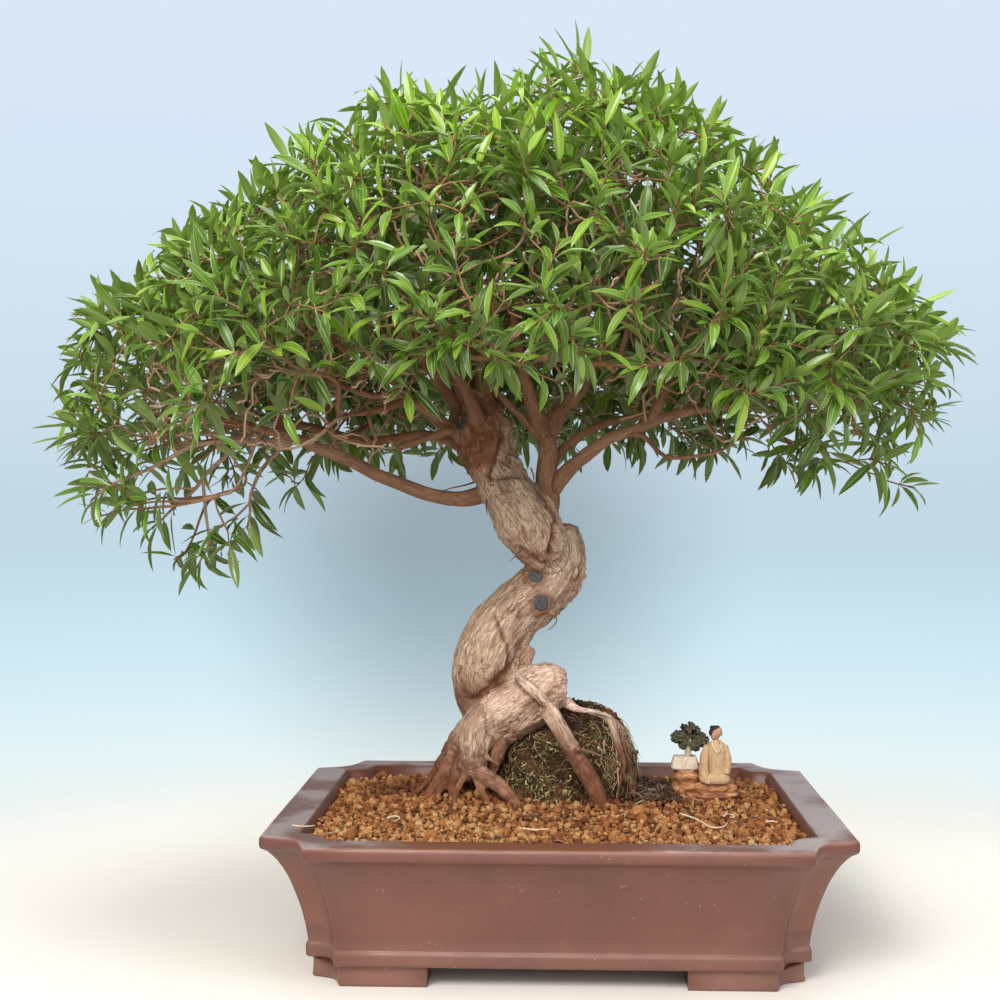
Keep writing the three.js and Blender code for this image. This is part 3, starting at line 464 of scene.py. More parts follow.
def grow_boughs():
    """Skeleton with the limbs and the boughs that end at each spray."""
    skeleton = Skeleton()
    for limb in LIMBS:
        points, radii = resample(limb, 24)
        skeleton.add(points, radii, "limb", 2)
    sprays, boughs = [], []
    for theta, phi in SPRAY_SPOTS:
        centre = shell(math.radians(theta), math.radians(phi))
        base = HUB + (centre - HUB) * SPRAY_REACH
        sprays.append(dict(centre=centre, base=base, heading=unit(centre - HUB)))
    for spray in sprays:
        points, radii = skeleton.branch(spray["base"] - 8 * spray["heading"], spray["heading"], BOUGH_RADIUS,
            "limb", 56, 9)
        boughs.append((np.vstack([points, spray["base"]]), np.append(radii, BOUGH_RADIUS)))
    return skeleton, sprays, boughs


def crooked(points, amount, seed):
    """A path with the small kinks of a grown twig, its ends held."""
    t = np.linspace(0, 1, len(points))
    hold = np.sin(np.pi * t) ** 0.5
    rng = np.random.RandomState(seed)
    shift = np.stack([sum(rng.uniform(-1, 1) / k * np.sin(k * 2.2 * np.pi * t + rng.uniform(0, 6.28))
        for k in (1, 2, 3)) for _ in range(3)], -1)
    return points + amount * hold[:, None] * shift


# Node helpers


def put(tree, kind, values=None, **props):
    """Add a node; a value that is a socket is linked, any other is set."""
    node = tree.nodes.new(kind)
    for key, value in props.items():
        setattr(node, key, value)
    for key, value in (values or {}).items():
        socket = node.inputs[key]
        if isinstance(value, bpy.types.NodeSocket):
            tree.links.new(value, socket)
        elif isinstance(value, tuple) and socket.type == "RGBA":
            socket.default_value = (*value, 1)
        else:
            socket.default_value = value
    return node


def ramp(tree, factor, stops):
    node = put(tree, "ShaderNodeValToRGB", {0: factor})
    band = node.color_ramp
    while len(band.elements) > 1:
        band.elements.remove(band.elements[-1])
    for k, (at, colour) in enumerate(stops):
        element = band.elements[0] if k == 0 else band.elements.new(at)
        element.position = at
        element.color = (*colour, 1) if isinstance(colour, tuple) else (colour, colour, colour, 1)
    return node.outputs[0]


def mix(tree, factor, a, b, mode="MIX"):
    return put(tree, "ShaderNodeMix", {0: factor, 6: a, 7: b}, data_type="RGBA", blend_type=mode).outputs[2]


def calc(tree, operation, a, b=None, c=None, clamp=False):
    values = {k: v for k, v in enumerate((a, b, c)) if v is not None}
    return put(tree, "ShaderNodeMath", values, operation=operation, use_clamp=clamp).outputs[0]


def times(tree, a, b):
    return calc(tree, "MULTIPLY", a, b)


def plus(tree, a, b, clamp=False):
    return calc(tree, "ADD", a, b, clamp=clamp)


def minus(tree, a, b, clamp=False):
    return calc(tree, "SUBTRACT", a, b, clamp=clamp)


def span(tree, value, low, high, start=0.0, end=1.0, soft=False):
    """A value between low and high, turned into one between start and end."""
    kind = "SMOOTHSTEP" if soft else "LINEAR"
    limits = {0: value, 1: low, 2: high, 3: start, 4: end}
    return put(tree, "ShaderNodeMapRange", limits, interpolation_type=kind).outputs[0]


def shaded(tree, colour, by):
    return mix(tree, 1.0, colour, by, "MULTIPLY")


def tinted(colour, *by):
    return tuple(c * k for c, k in zip(colour, by))


def value_of(tree, name):
    return put(tree, "ShaderNodeAttribute", attribute_name=name).outputs["Fac"]


def vector_of(tree, name):
    return put(tree, "ShaderNodeAttribute", attribute_name=name).outputs["Vector"]


def parts(tree, vector):
    return put(tree, "ShaderNodeSeparateXYZ", {0: vector}).outputs


def scaled(tree, vector, by):
    return put(tree, "ShaderNodeVectorMath", {0: vector, 1: by}, operation="MULTIPLY").outputs[0]


def noise_of(tree, vector, scale, detail=3.0, rough=0.55, distortion=0.0):
    values = {"Vector": vector, "Scale": scale, "Detail": detail, "Roughness": rough,
        "Distortion": distortion}
    return put(tree, "ShaderNodeTexNoise", values).outputs[0]


def dots_of(tree, vector, scale):
    return put(tree, "ShaderNodeTexVoronoi", {"Vector": vector, "Scale": scale}).outputs["Distance"]


def place(tree):
    return put(tree, "ShaderNodeTexCoord").outputs["Object"]


def finish(name, build, **settings):
    """A material whose build function returns its sockets by name."""
    material = bpy.data.materials.get(name)
    if material:
        return material
    material = bpy.data.materials.new(name)
    material.use_nodes = True
    tree = material.node_tree
    shader = tree.nodes["Principled BSDF"]
    for key, value in settings.items():
        shader.inputs[key.replace("_", " ")].default_value = value
    made = build(tree)
    height = made.pop("Height", None)
    if height is not None:
        socket, strength, distance = height
        bump = put(tree, "ShaderNodeBump", {"Height": socket, "Strength": strength, "Distance": distance})
        made["Normal"] = bump.outputs[0]
    for key, socket in made.items():
        if isinstance(socket, bpy.types.NodeSocket):
            tree.links.new(socket, shader.inputs[key])
    return material


def effect(name, place_label, outputs, build):
    """A shader node group, built once: from a place and a scale to values."""
    group = bpy.data.node_groups.get(name)
    if group:
        return group
    group = bpy.data.node_groups.new(name, "ShaderNodeTree")
    group.interface.new_socket(place_label, in_out="INPUT", socket_type="NodeSocketVector")
    group.interface.new_socket("Scale", in_out="INPUT", socket_type="NodeSocketFloat").default_value = 1.0
    for label in outputs:
        group.interface.new_socket(label, in_out="OUTPUT", socket_type="NodeSocketFloat")
    start, end = group.nodes.new("NodeGroupInput"), group.nodes.new("NodeGroupOutput")
    for label, socket in build(group, start.outputs).items():
        group.links.new(socket, end.inputs[label])
    return group


def use(tree, group, **values):
    return put(tree, "ShaderNodeGroup", values, node_tree=group).outputs


def bark_grain():
    """Long stringy wavy cracks and fine fibres, in the place round and along a stem."""

    def build(tree, given):
        start = scaled(tree, given["Grain"], (1.0, 1.0, 0.35))
        warp = put(tree, "ShaderNodeTexNoise",
            {"Vector": start, "Scale": 0.13, "Detail": 3.0}).outputs["Color"]
        bend = {0: warp, 1: (8.0, 8.0, 7.0), 2: given["Grain"]}
        bent = put(tree, "ShaderNodeVectorMath", bend, operation="MULTIPLY_ADD").outputs[0]

        def strings(stretch, size, width, detail):
            drawn_out = scaled(tree, bent, (1.0, 1.0, stretch))
            field = noise_of(tree, drawn_out, times(tree, given["Scale"], size), detail, 0.6)
            away = calc(tree, "ABSOLUTE", minus(tree, field, 0.5))
            return span(tree, away, 0.25 * width, width, 1.0, 0.0, soft=True)

        some = span(tree, noise_of(tree, given["Grain"], 0.06, 3), 0.38, 0.62)
        wide = times(tree, strings(0.13, 0.2, 0.034, 1.5), calc(tree, "MULTIPLY_ADD", some, 0.6, 0.4))
        thin = times(tree, strings(0.15, 0.42, 0.045, 1.0), 0.5)
        fine = noise_of(tree, scaled(tree, bent, (1.0, 1.0, 0.11)), times(tree, given["Scale"], 1.0), 5, 0.68)
        fleck = noise_of(tree, scaled(tree, bent, (1.0, 1.0, 0.5)), 0.75, 3, 0.6)
        fleck = span(tree, fleck, 0.62, 0.7, 0.0, 0.5)
        crack = calc(tree, "MAXIMUM", calc(tree, "MAXIMUM", wide, thin), fleck)
        height = minus(tree, times(tree, fine, 1.0), times(tree, crack, 0.8))
        return {"Crack": crack, "Fibre": fine, "Height": height}

    return effect("Bark Grain", "Grain", ("Crack", "Fibre", "Height"), build)


def mottle():
    """Soft patches, fine grit and small light specks."""

    def build(tree, given):
        where, size = given["Vector"], given["Scale"]
        patch = noise_of(tree, where, times(tree, size, 9.0), 4, 0.6)
        grit = noise_of(tree, where, times(tree, size, 520.0), 2, 0.6)
        speck = span(tree, dots_of(tree, where, times(tree, size, 170.0)), 0.05, 0.13, 1.0, 0.0)
        some = span(tree, noise_of(tree, where, times(tree, size, 60.0), 2), 0.53, 0.64)
        return {"Patch": patch, "Grit": grit, "Speck": times(tree, speck, some)}

    return effect("Mottle", "Vector", ("Patch", "Grit", "Speck"), build)


# Finishes


def chosen(name):
    """A colour as it is set in the panel."""
    return tuple(getattr(bpy.context.scene.bonsai_colours, name))


def bark_finish():
    old, young = chosen("bark"), chosen("young_bark")

    def build(tree):
        tone = value_of(tree, "tone")
        place_round = vector_of(tree, "grain")
        grain = use(tree, bark_grain(), Grain=place_round, Scale=1.0)
        where = place(tree)
        patch = ramp(tree, noise_of(tree, where, 26.0, 5, 0.62), [(0.38, 0.0), (0.66, 1.0)])
        aged = mix(tree, patch, old, tinted(old, 0.84, 0.76, 0.68))
        fresh = mix(tree, patch, young, tinted(young, 0.72, 0.66, 0.62))
        # Pale pink for the highest tone, on the top of the root crown: partly the bark's own colour, partly a
        # painted highlight of the light from above
        pink_and_highlight = mix(tree, patch, (0.95, 0.72, 0.60), (0.80, 0.53, 0.39))
        base = mix(tree, ramp(tree, tone, [(0.1, 0.0), (0.42, 1.0)]), fresh, aged)
        base = mix(tree, ramp(tree, tone, [(0.6, 0.0), (0.95, 1.0)]), base, pink_and_highlight)
        dark = mix(tree, ramp(tree, tone, [(0.2, 0.0), (0.5, 1.0)]), (0.12, 0.045, 0.02),
            (0.20, 0.085, 0.042))
        deep = times(tree, grain["Crack"], ramp(tree, tone, [(0.1, 0.5), (0.45, 1.0)]))
        base = mix(tree, deep, base, dark)
        base = shaded(tree, base,
            ramp(tree, grain["Fibre"], [(0.32, (0.84, 0.74, 0.67)), (0.46, 1.0), (0.7, 1.12)]))
        pore = span(tree, dots_of(tree, scaled(tree, place_round, (1.0, 1.0, 1.6)), 0.34), 0.1, 0.2, 0.5, 0.0)
        pore = times(tree, pore, ramp(tree, tone, [(0.15, 1.0), (0.4, 0.0)]))
        base = mix(tree, pore, base, (0.55, 0.34, 0.21))
        # Painted shade in furrows, crotches, creases and hollows, with the damp foot of the roots and the
        # brown neck, darkens the bark to one deep red brown
        base = mix(tree, value_of(tree, "hollow"), base, (0.17, 0.05, 0.018))
        return {"Base Color": base, "Height": (plus(tree, grain["Height"], pore), 0.85, 0.0014)}

    return finish("Bark", build, Roughness=0.8)


def twig_finish():
    def build(tree):
        grain = use(tree, bark_grain(), Grain=vector_of(tree, "grain"), Scale=2.5)
        age = value_of(tree, "tone")
        base = ramp(tree, age, [(0.0, (0.24, 0.19, 0.05)), (0.2, (0.25, 0.115, 0.05)),
            (0.55, tinted(chosen("young_bark"), 1.02, 1.15, 1.25)), (1.0, (0.72, 0.52, 0.36))])
        base = shaded(tree, base, ramp(tree, grain["Fibre"], [(0.3, 0.7), (0.6, 1.1), (0.75, 1.35)]))
        return {"Base Color": base, "Height": (grain["Height"], 0.5, 0.0006)}

    return finish("Twig Bark", build, Roughness=0.7)


def leaf_finish():
    green = chosen("leaf")

    def build(tree):
        across, run, chance = parts(tree, vector_of(tree, "blade"))
        tone, youth, _ = parts(tree, vector_of(tree, "tint"))
        edge = calc(tree, "ABSOLUTE", across)
        cloud = noise_of(tree, place(tree), 60.0, 3)
        # The tone is painted light and shade; the ramp below turns it into shaded and lit copies of the leaf
        # green
        shade = plus(tree, tone, times(tree, minus(tree, cloud, 0.5), 0.4), clamp=True)
        base = ramp(tree, shade,
            [(0.0, tinted(green, 0.16, 0.22, 0.4)), (0.35, tinted(green, 0.5, 0.6, 0.85)), (0.65, green),
            (1.0, tinted(green, 1.5, 1.36, 2.3))])
        base = mix(tree, youth, base, (0.33, 0.48, 0.035))
        veins = calc(tree, "SINE", times(tree, minus(tree, run, times(tree, edge, 0.1)), 75.0))
        vein = span(tree, veins, 0.4, 1.0, 0.0, 0.09)
        base = mix(tree, vein, base, (0.36, 0.48, 0.1))
        midrib = span(tree, edge, 0.03, 0.12, 0.6, 0.0)
        base = mix(tree, midrib, base, (0.46, 0.55, 0.16))
        # A pale line along the margin: partly the leaf's own edge, partly painted sheen on the edge
        margin_and_sheen = span(tree, edge, 0.84, 0.97, 0.0, 0.6)
        base = mix(tree, margin_and_sheen, base, (0.50, 0.61, 0.24))
        crest = span(tree, parts(tree, place(tree))["Z"], 0.56, 0.76, 0.0, 1.0)
        base = mix(tree, crest, base, shaded(tree, base, (0.9, 1.0, 0.25)))
        stalk = span(tree, run, 0.09, 0.16, 0.8, 0.0)
        base = mix(tree, stalk, base, (0.46, 0.42, 0.13))
        back = put(tree, "ShaderNodeNewGeometry").outputs["Backfacing"]
        dull = mix(tree, 0.5, base, (0.27, 0.37, 0.13))
        base = mix(tree, back, base, dull)
        rough = span(tree, plus(tree, times(tree, cloud, 0.5), times(tree, chance, 0.5)), 0.2, 0.8, 0.2, 0.4)
        height = minus(tree, times(tree, vein, 1.2), times(tree, midrib, 1.0))
        shader = tree.nodes["Principled BSDF"]
        glow = put(tree, "ShaderNodeBsdfTranslucent", {"Color": mix(tree, 0.4, base, (0.34, 0.52, 0.03))})
        both = put(tree, "ShaderNodeMixShader", {0: 0.13, 1: shader.outputs[0], 2: glow.outputs[0]})
        tree.links.new(both.outputs[0], tree.nodes["Material Output"].inputs[0])
        return {"Base Color": base, "Roughness": rough, "Height": (height, 0.35, 0.0006)}

    return finish("Leaf", build, Specular_IOR_Level=0.62)


def stoneware_finish():
    clay = chosen("stoneware")
    middle_x, middle_y = float(HERE[0]), float(HERE[1])

    def build(tree):
        where = place(tree)
        spots = use(tree, mottle(), Vector=where, Scale=1.0)
        base = mix(tree, ramp(tree, spots["Patch"], [(0.34, 0.0), (0.66, 1.0)]),
            tinted(clay, 1.14, 1.14, 1.14), tinted(clay, 0.85, 0.86, 0.8))
        fine = use(tree, mottle(), Vector=where, Scale=2.1)
        base = mix(tree, times(tree, fine["Speck"], 0.6), base, (0.46, 0.30, 0.24))
        base = mix(tree, times(tree, spots["Speck"], 0.6), base, (0.60, 0.40, 0.31))
        side_x, side_y, low = parts(tree, where)
        # Upright, five to a metre: the lower band is duller than the wall, and the rim a little paler
        levels = [(0.1, (0.96, 0.93, 0.91)), (0.125, (0.89, 0.85, 0.85)), (0.21, (0.89, 0.85, 0.85)),
            (0.235, 1.0), (0.545, 1.0), (0.565, (1.0, 0.95, 0.93))]
        base = shaded(tree, base, ramp(tree, times(tree, low, 5.0), levels))
        # Painted light: the wall is lighter on the indented corners, for the sheen that the light makes in
        # the coves
        corner = span(tree, calc(tree, "ABSOLUTE", minus(tree, side_x, middle_x)), 0.186, 0.2)
        corner = times(tree, corner,
            ramp(tree, times(tree, low, 5.0), [(0.22, 0.0), (0.24, 1.0), (0.53, 1.0), (0.55, 0.0)]))
        base = mix(tree, corner, base, shaded(tree, base, (1.28, 1.28, 1.16)))
        dust = span(tree, low, 0.0, 0.045, 0.2, 0.0)
        dust = times(tree, dust, noise_of(tree, where, 45.0, 5))
        base = mix(tree, dust, base, (0.50, 0.31, 0.23))
        # Pale marks on the edges of the rim and of the lower band, partly wear and partly a painted highlight
        # along the rounded edges, and fine scratches
        wear_and_edge_highlight = times(tree, value_of(tree, "edge"), noise_of(tree, where, 28.0, 5, 0.65))
        base = mix(tree, times(tree, wear_and_edge_highlight, 0.6), base, (0.36, 0.19, 0.145))
        lines = noise_of(tree, scaled(tree, where, (1.0, 1.0, 0.8)), 26.0, 2, 0.4, 1.6)
        lines = span(tree, calc(tree, "ABSOLUTE", minus(tree, lines, 0.5)), 0.0, 0.0035, 1.0, 0.0)
        some = span(tree, noise_of(tree, where, 42.0, 2), 0.6, 0.68, 0.0, 0.4)
        base = mix(tree, times(tree, lines, some), base, (0.55, 0.36, 0.28))
        inside = value_of(tree, "inside")
        base = mix(tree, inside, base, (0.115, 0.036, 0.02))
        # Where water has dried on the rim its skin shines, and its colour is also mixed towards a pale grey
        # white, a painted reflection of the bright sky, stronger on the right
        rim = value_of(tree, "rim")
        gloss_and_painted_sheen = span(tree, noise_of(tree, where, 13.0, 3, 0.5), 0.4, 0.54, 0.15, 1.0, soft=True)
        side = span(tree, side_x, middle_x + 0.15, middle_x + 0.21, 1.02, 1.25)
        gloss_and_painted_sheen = times(tree, gloss_and_painted_sheen, times(tree, rim, side))
        # The middle of the front rim, along its inner edge, is darkened to the orange brown of the grains,
        # made rougher and left without coat
        front_strip = span(tree, minus(tree, middle_y - 0.16, side_y), 0.0, 0.008, 0.0, 1.0)
        ends = plus(tree, calc(tree, "ABSOLUTE", minus(tree, side_x, middle_x - 0.037)),
            times(tree, noise_of(tree, where, 24.0, 3), 0.06))
        ends = span(tree, ends, 0.11, 0.16, 0.85, 0.0)
        front_strip = times(tree, times(tree, front_strip, rim), ends)
        gloss_and_painted_sheen = times(tree, gloss_and_painted_sheen, minus(tree, 1.0, front_strip, clamp=True))
        # Painted reflection on the shiny patches of the rim
        base = mix(tree, times(tree, times(tree, gloss_and_painted_sheen, side), 0.42), base, (0.50, 0.44, 0.44))
        base = mix(tree, front_strip, base, (0.15, 0.046, 0.014))
        streak = noise_of(tree, scaled(tree, where, (1.0, 1.0, 0.2)), 30.0, 5, 0.65, 0.5)
        rough = span(tree, streak, 0.3, 0.7, 0.38, 0.56)
        rough = calc(tree, "MULTIPLY_ADD", front_strip, 0.3, minus(tree, rough, times(tree, gloss_and_painted_sheen, 0.14)), clamp=True)
        coat = times(tree, calc(tree, "MULTIPLY_ADD", gloss_and_painted_sheen, 0.5, 0.15, clamp=True),
            minus(tree, 1.0, front_strip, clamp=True))
        height = plus(tree, times(tree, spots["Grit"], 0.4), times(tree, noise_of(tree, where, 60.0, 4), 0.8))
        return {"Base Color": base, "Roughness": rough, "Coat Weight": coat, "Height": (height, 0.22, 0.0012)}

    return finish("Stoneware", build, Specular_IOR_Level=0.5, Coat_Roughness=0.3)


def clay_finish():
    clay = chosen("clay")

    def build(tree):
        chance, wet, _ = parts(tree, vector_of(tree, "grain"))
        where = place(tree)
        base = ramp(tree, chance,
            [(0.0, tinted(clay, 0.3, 0.22, 0.2)), (0.25, tinted(clay, 0.62, 0.52, 0.46)), (0.5, clay),
            (0.75, tinted(clay, 1.25, 1.5, 1.8)), (1.0, (0.57, 0.34, 0.14))])
        base = shaded(tree, base, ramp(tree, noise_of(tree, where, 420.0, 4, 0.65),
            [(0.3, 0.62), (0.55, 1.0), (0.75, 1.25)]))
        base = mix(tree, wet, base, shaded(tree, base, (0.36, 0.25, 0.2)))
        return {"Base Color": base, "Height": (noise_of(tree, where, 700.0, 4, 0.7), 0.7, 0.0009)}

    return finish("Clay Grains", build, Roughness=0.92)


def bed_painted_shade_finish():
    def build(tree):
        where = place(tree)
        # Near black brown: painted shade in the gaps between the grains
        base = ramp(tree, noise_of(tree, where, 260.0, 4, 0.7),
            [(0.3, (0.05, 0.022, 0.01)), (0.6, (0.2, 0.095, 0.035))])
        return {"Base Color": base, "Height": (noise_of(tree, where, 330.0, 4), 0.9, 0.003)}

    return finish("Soil Bed", build, Roughness=0.96)


def peat_finish():
    peat = chosen("peat")

    def build(tree):
        where = place(tree)
        fibre = noise_of(tree, scaled(tree, where, (1.0, 1.0, 0.45)), 300.0, 6, 0.72, 1.4)
        lump = noise_of(tree, where, 70.0, 5, 0.6)
        base = ramp(tree, fibre, [(0.3, tinted(peat, 0.35, 0.35, 0.35)), (0.5, peat),
            (0.66, tinted(peat, 2.6, 3.0, 3.2)), (0.8, (0.52, 0.30, 0.16))])
        green = span(tree, noise_of(tree, where, 38.0, 4, 0.6), 0.52, 0.62, 0.0, 0.6)
        base = mix(tree, green, base,
            ramp(tree, fibre, [(0.3, (0.03, 0.035, 0.008)), (0.7, (0.17, 0.16, 0.04))]))
        base = shaded(tree, base, ramp(tree, lump, [(0.3, 0.35), (0.65, 1.1)]))
        return {"Base Color": base, "Height": (plus(tree, fibre, lump), 1.0, 0.004)}

    return finish("Peat", build, Roughness=1.0)


def moss_finish():
    """Matted fibres: near black through olive and lime to straw."""

    def build(tree):
        chance = value_of(tree, "tone")
        base = ramp(tree, chance, [(0.0, (0.03, 0.011, 0.005)), (0.28, (0.12, 0.05, 0.02)),
            (0.45, (0.17, 0.12, 0.036)), (0.62, (0.235, 0.22, 0.06)), (0.8, (0.42, 0.42, 0.15)),
            (1.0, (0.78, 0.62, 0.42))])
        base = shaded(tree, base, ramp(tree, noise_of(tree, place(tree), 500.0, 3),
            [(0.3, 0.7), (0.7, 1.25)]))
        return {"Base Color": base, "Height": (noise_of(tree, place(tree), 900.0, 3), 0.5, 0.0005)}

    return finish("Matted Moss", build, Roughness=0.95)


def strand_finish(name, dark, light, rough=0.8):
    """Fibres and other small loose bits: a colour that shifts from one to the next."""

    def build(tree):
        chance = value_of(tree, "tone")
        base = ramp(tree, chance, [(0.0, dark), (1.0, light)])
        base = shaded(tree, base, ramp(tree, noise_of(tree, place(tree), 600.0, 3),
            [(0.3, 0.75), (0.7, 1.25)]))
        return {"Base Color": base, "Height": (noise_of(tree, place(tree), 900.0, 3), 0.5, 0.0005)}

    return finish(name, build, Roughness=rough)


def mud_finish(name, light, dark, scale=1.0, rough=0.85):
    """Painted mud of the little figures: a wash of colour in soft patches of a light and a dark tone, with
    fine grit.
    """

    def build(tree):
        spots = use(tree, mottle(), Vector=place(tree), Scale=5.0 * scale)
        fine = noise_of(tree, place(tree), 420.0 * scale, 5, 0.65)
        base = mix(tree, ramp(tree, spots["Patch"], [(0.35, 0.0), (0.65, 1.0)]), dark, light)
        base = shaded(tree, base, ramp(tree, fine, [(0.3, 0.72), (0.6, 1.08), (0.75, 1.2)]))
        return {"Base Color": base, "Height": (plus(tree, fine, spots["Patch"]), 0.6, 0.0008)}

    return finish(name, build, Roughness=rough)


def rock_finish():
    """Fired mud cut like layered stone."""

    def build(tree):
        where = place(tree)
        layer = noise_of(tree, scaled(tree, where, (1.0, 1.0, 6.0)), 45.0, 5, 0.65, 0.6)
        fine = noise_of(tree, where, 420.0, 5, 0.65)
        base = ramp(tree, layer, [(0.34, (0.075, 0.024, 0.01)), (0.42, (0.27, 0.095, 0.032)),
            (0.54, (0.43, 0.185, 0.07)), (0.7, (0.70, 0.40, 0.21))])
        base = shaded(tree, base, ramp(tree, fine, [(0.3, 0.7), (0.6, 1.1), (0.75, 1.3)]))
        return {"Base Color": base, "Height": (plus(tree, fine, times(tree, layer, 2.0)), 0.8, 0.0012)}

    return finish("Mud Rock", build, Roughness=0.5)


def paste_finish():
    def build(tree):
        fine = noise_of(tree, place(tree), 500.0, 5, 0.7)
        base = ramp(tree, fine, [(0.3, (0.035, 0.034, 0.037)), (0.55, (0.085, 0.083, 0.09)),
            (0.75, (0.2, 0.19, 0.195))])
        return {"Base Color": base, "Height": (fine, 0.8, 0.0012)}

    return finish("Wound Paste", build, Roughness=0.75)


# Pot

# Half its length and half its depth at the rim, then the heights of its top, its feet and its lower band
HALF_LENGTH, HALF_DEPTH = 250, 195
POT_TOP, FOOT_TOP = 122, 13.5
WALL_TOP, WALL_FOOT = POT_TOP - 12, FOOT_TOP + 13.5
# Breadth of the rim at the sides and at the front, and the corner of the opening
SIDE_RIM, FRONT_RIM, OPENING_CORNER = 33, 28, 27.3
# Drain holes: distance from the middle, radius, and the reach of the faces that close up on them
DRAIN_X, DRAIN_RADIUS, DRAIN_REACH = 115, 12.5, 19
# Length and breadth of each foot's two arms
FOOT_RUN, FOOT_WIDTH = 99.5, 40
# An indented corner in plan, from 0 to 1 both ways
CORNER_CURVE = [(0, 0), (0.05, 0.13), (0.1, 0.28), (0.15, 0.43), (0.2, 0.55), (0.27, 0.65), (0.36, 0.74),
    (0.47, 0.81), (0.6, 0.86), (0.73, 0.9), (0.87, 0.95), (1, 1)]
# The wall from its foot up: share of the way down from its top, inset
WALL_CURVE = [(1, 38), (0.82, 35.6), (0.66, 32.5), (0.54, 29.4), (0.42, 26), (0.31, 22.4), (0.22, 18.5),
    (0.14, 14.5), (0.08, 10.5), (0.03, 6.5)]
# Heights and insets of the lower band, of the rim, and of the hollow from the rim down
BAND = [(FOOT_TOP, 40), (FOOT_TOP + 0.4, 37.6), (FOOT_TOP + 1.6, 36.4), (FOOT_TOP + 4, 36),
    (WALL_FOOT - 4, 36), (WALL_FOOT - 1.8, 36.3), (WALL_FOOT - 0.7, 37), (WALL_FOOT - 0.2, 38.1)]
RIM = [(WALL_TOP - 0.6, 3.4), (WALL_TOP, 2.2), (WALL_TOP + 1.2, 0.8), (WALL_TOP + 3, 0.1), (POT_TOP - 4, 0),
    (POT_TOP - 1.8, 0.5), (POT_TOP - 0.6, 1.6), (POT_TOP, 3.2), (POT_TOP + 0.1, 5.2), (POT_TOP - 0.25, 6.2),
    (POT_TOP - 0.5, 7.0), (POT_TOP - 0.2, 7.8), (POT_TOP, 9.2)]
HOLLOW = [(POT_TOP, -5), (POT_TOP - 0.1, -1.6), (POT_TOP - 0.9, -0.3), (POT_TOP - 2.2, 0.4), (POT_TOP - 5, 2),
    (104, 5.3), (70, 14), (27, 20)]
FOOT_STEPS = [(FOOT_TOP + 0.4, 42), (4, 42), (-1.4, 41.4), (-3.0, 41.9), (-3.8, 42.9), (-4, 44.2)]


def pot_outline(inset_x, inset_y, corner, z):
    """Plan outline of the pot with its indented corners, anticlockwise, at an inset from the full size."""
    hx, hy = HALF_LENGTH - inset_x, HALF_DEPTH - inset_y
    front = [(hx - corner + u * corner, -hy + v * corner) for u, v in CORNER_CURVE]
    side = [(hx, y) for y in np.linspace(corner - hy, hy - corner, 7)[1:-1]]
    back = [(x, hy) for x in np.linspace(hx - corner, corner - hx, 9)[1:-1]]
    half = [*front, *side, *[(x, -y) for x, y in reversed(front)], *back]
    return np.array([(x, y, z) for x, y in half] + [(-x, -y, z) for x, y in half])


def opening(inset, z):
    """Outline of what lies in the pot's opening, at an inset from its wall."""
    return pot_outline(SIDE_RIM + inset, FRONT_RIM + inset, OPENING_CORNER, z)


def loft(shape, rings, kind=0, close=(True, True), **values):
    """Skin over rings of points, closed at either end or open there."""
    rings = [np.asarray(r, float) for r in rings]
    n, m = len(rings), len(rings[0])
    points, faces = np.concatenate(rings), [ring_quads(n, m)]
    for end, base in ((0, 0), (1, (n - 1) * m)):
        if close[end]:
            faces.append(fan(m, base, len(points), end == 0))
            points = np.vstack([points, rings[-end].mean(0)])
    shape.add(points, faces, kind, **values)


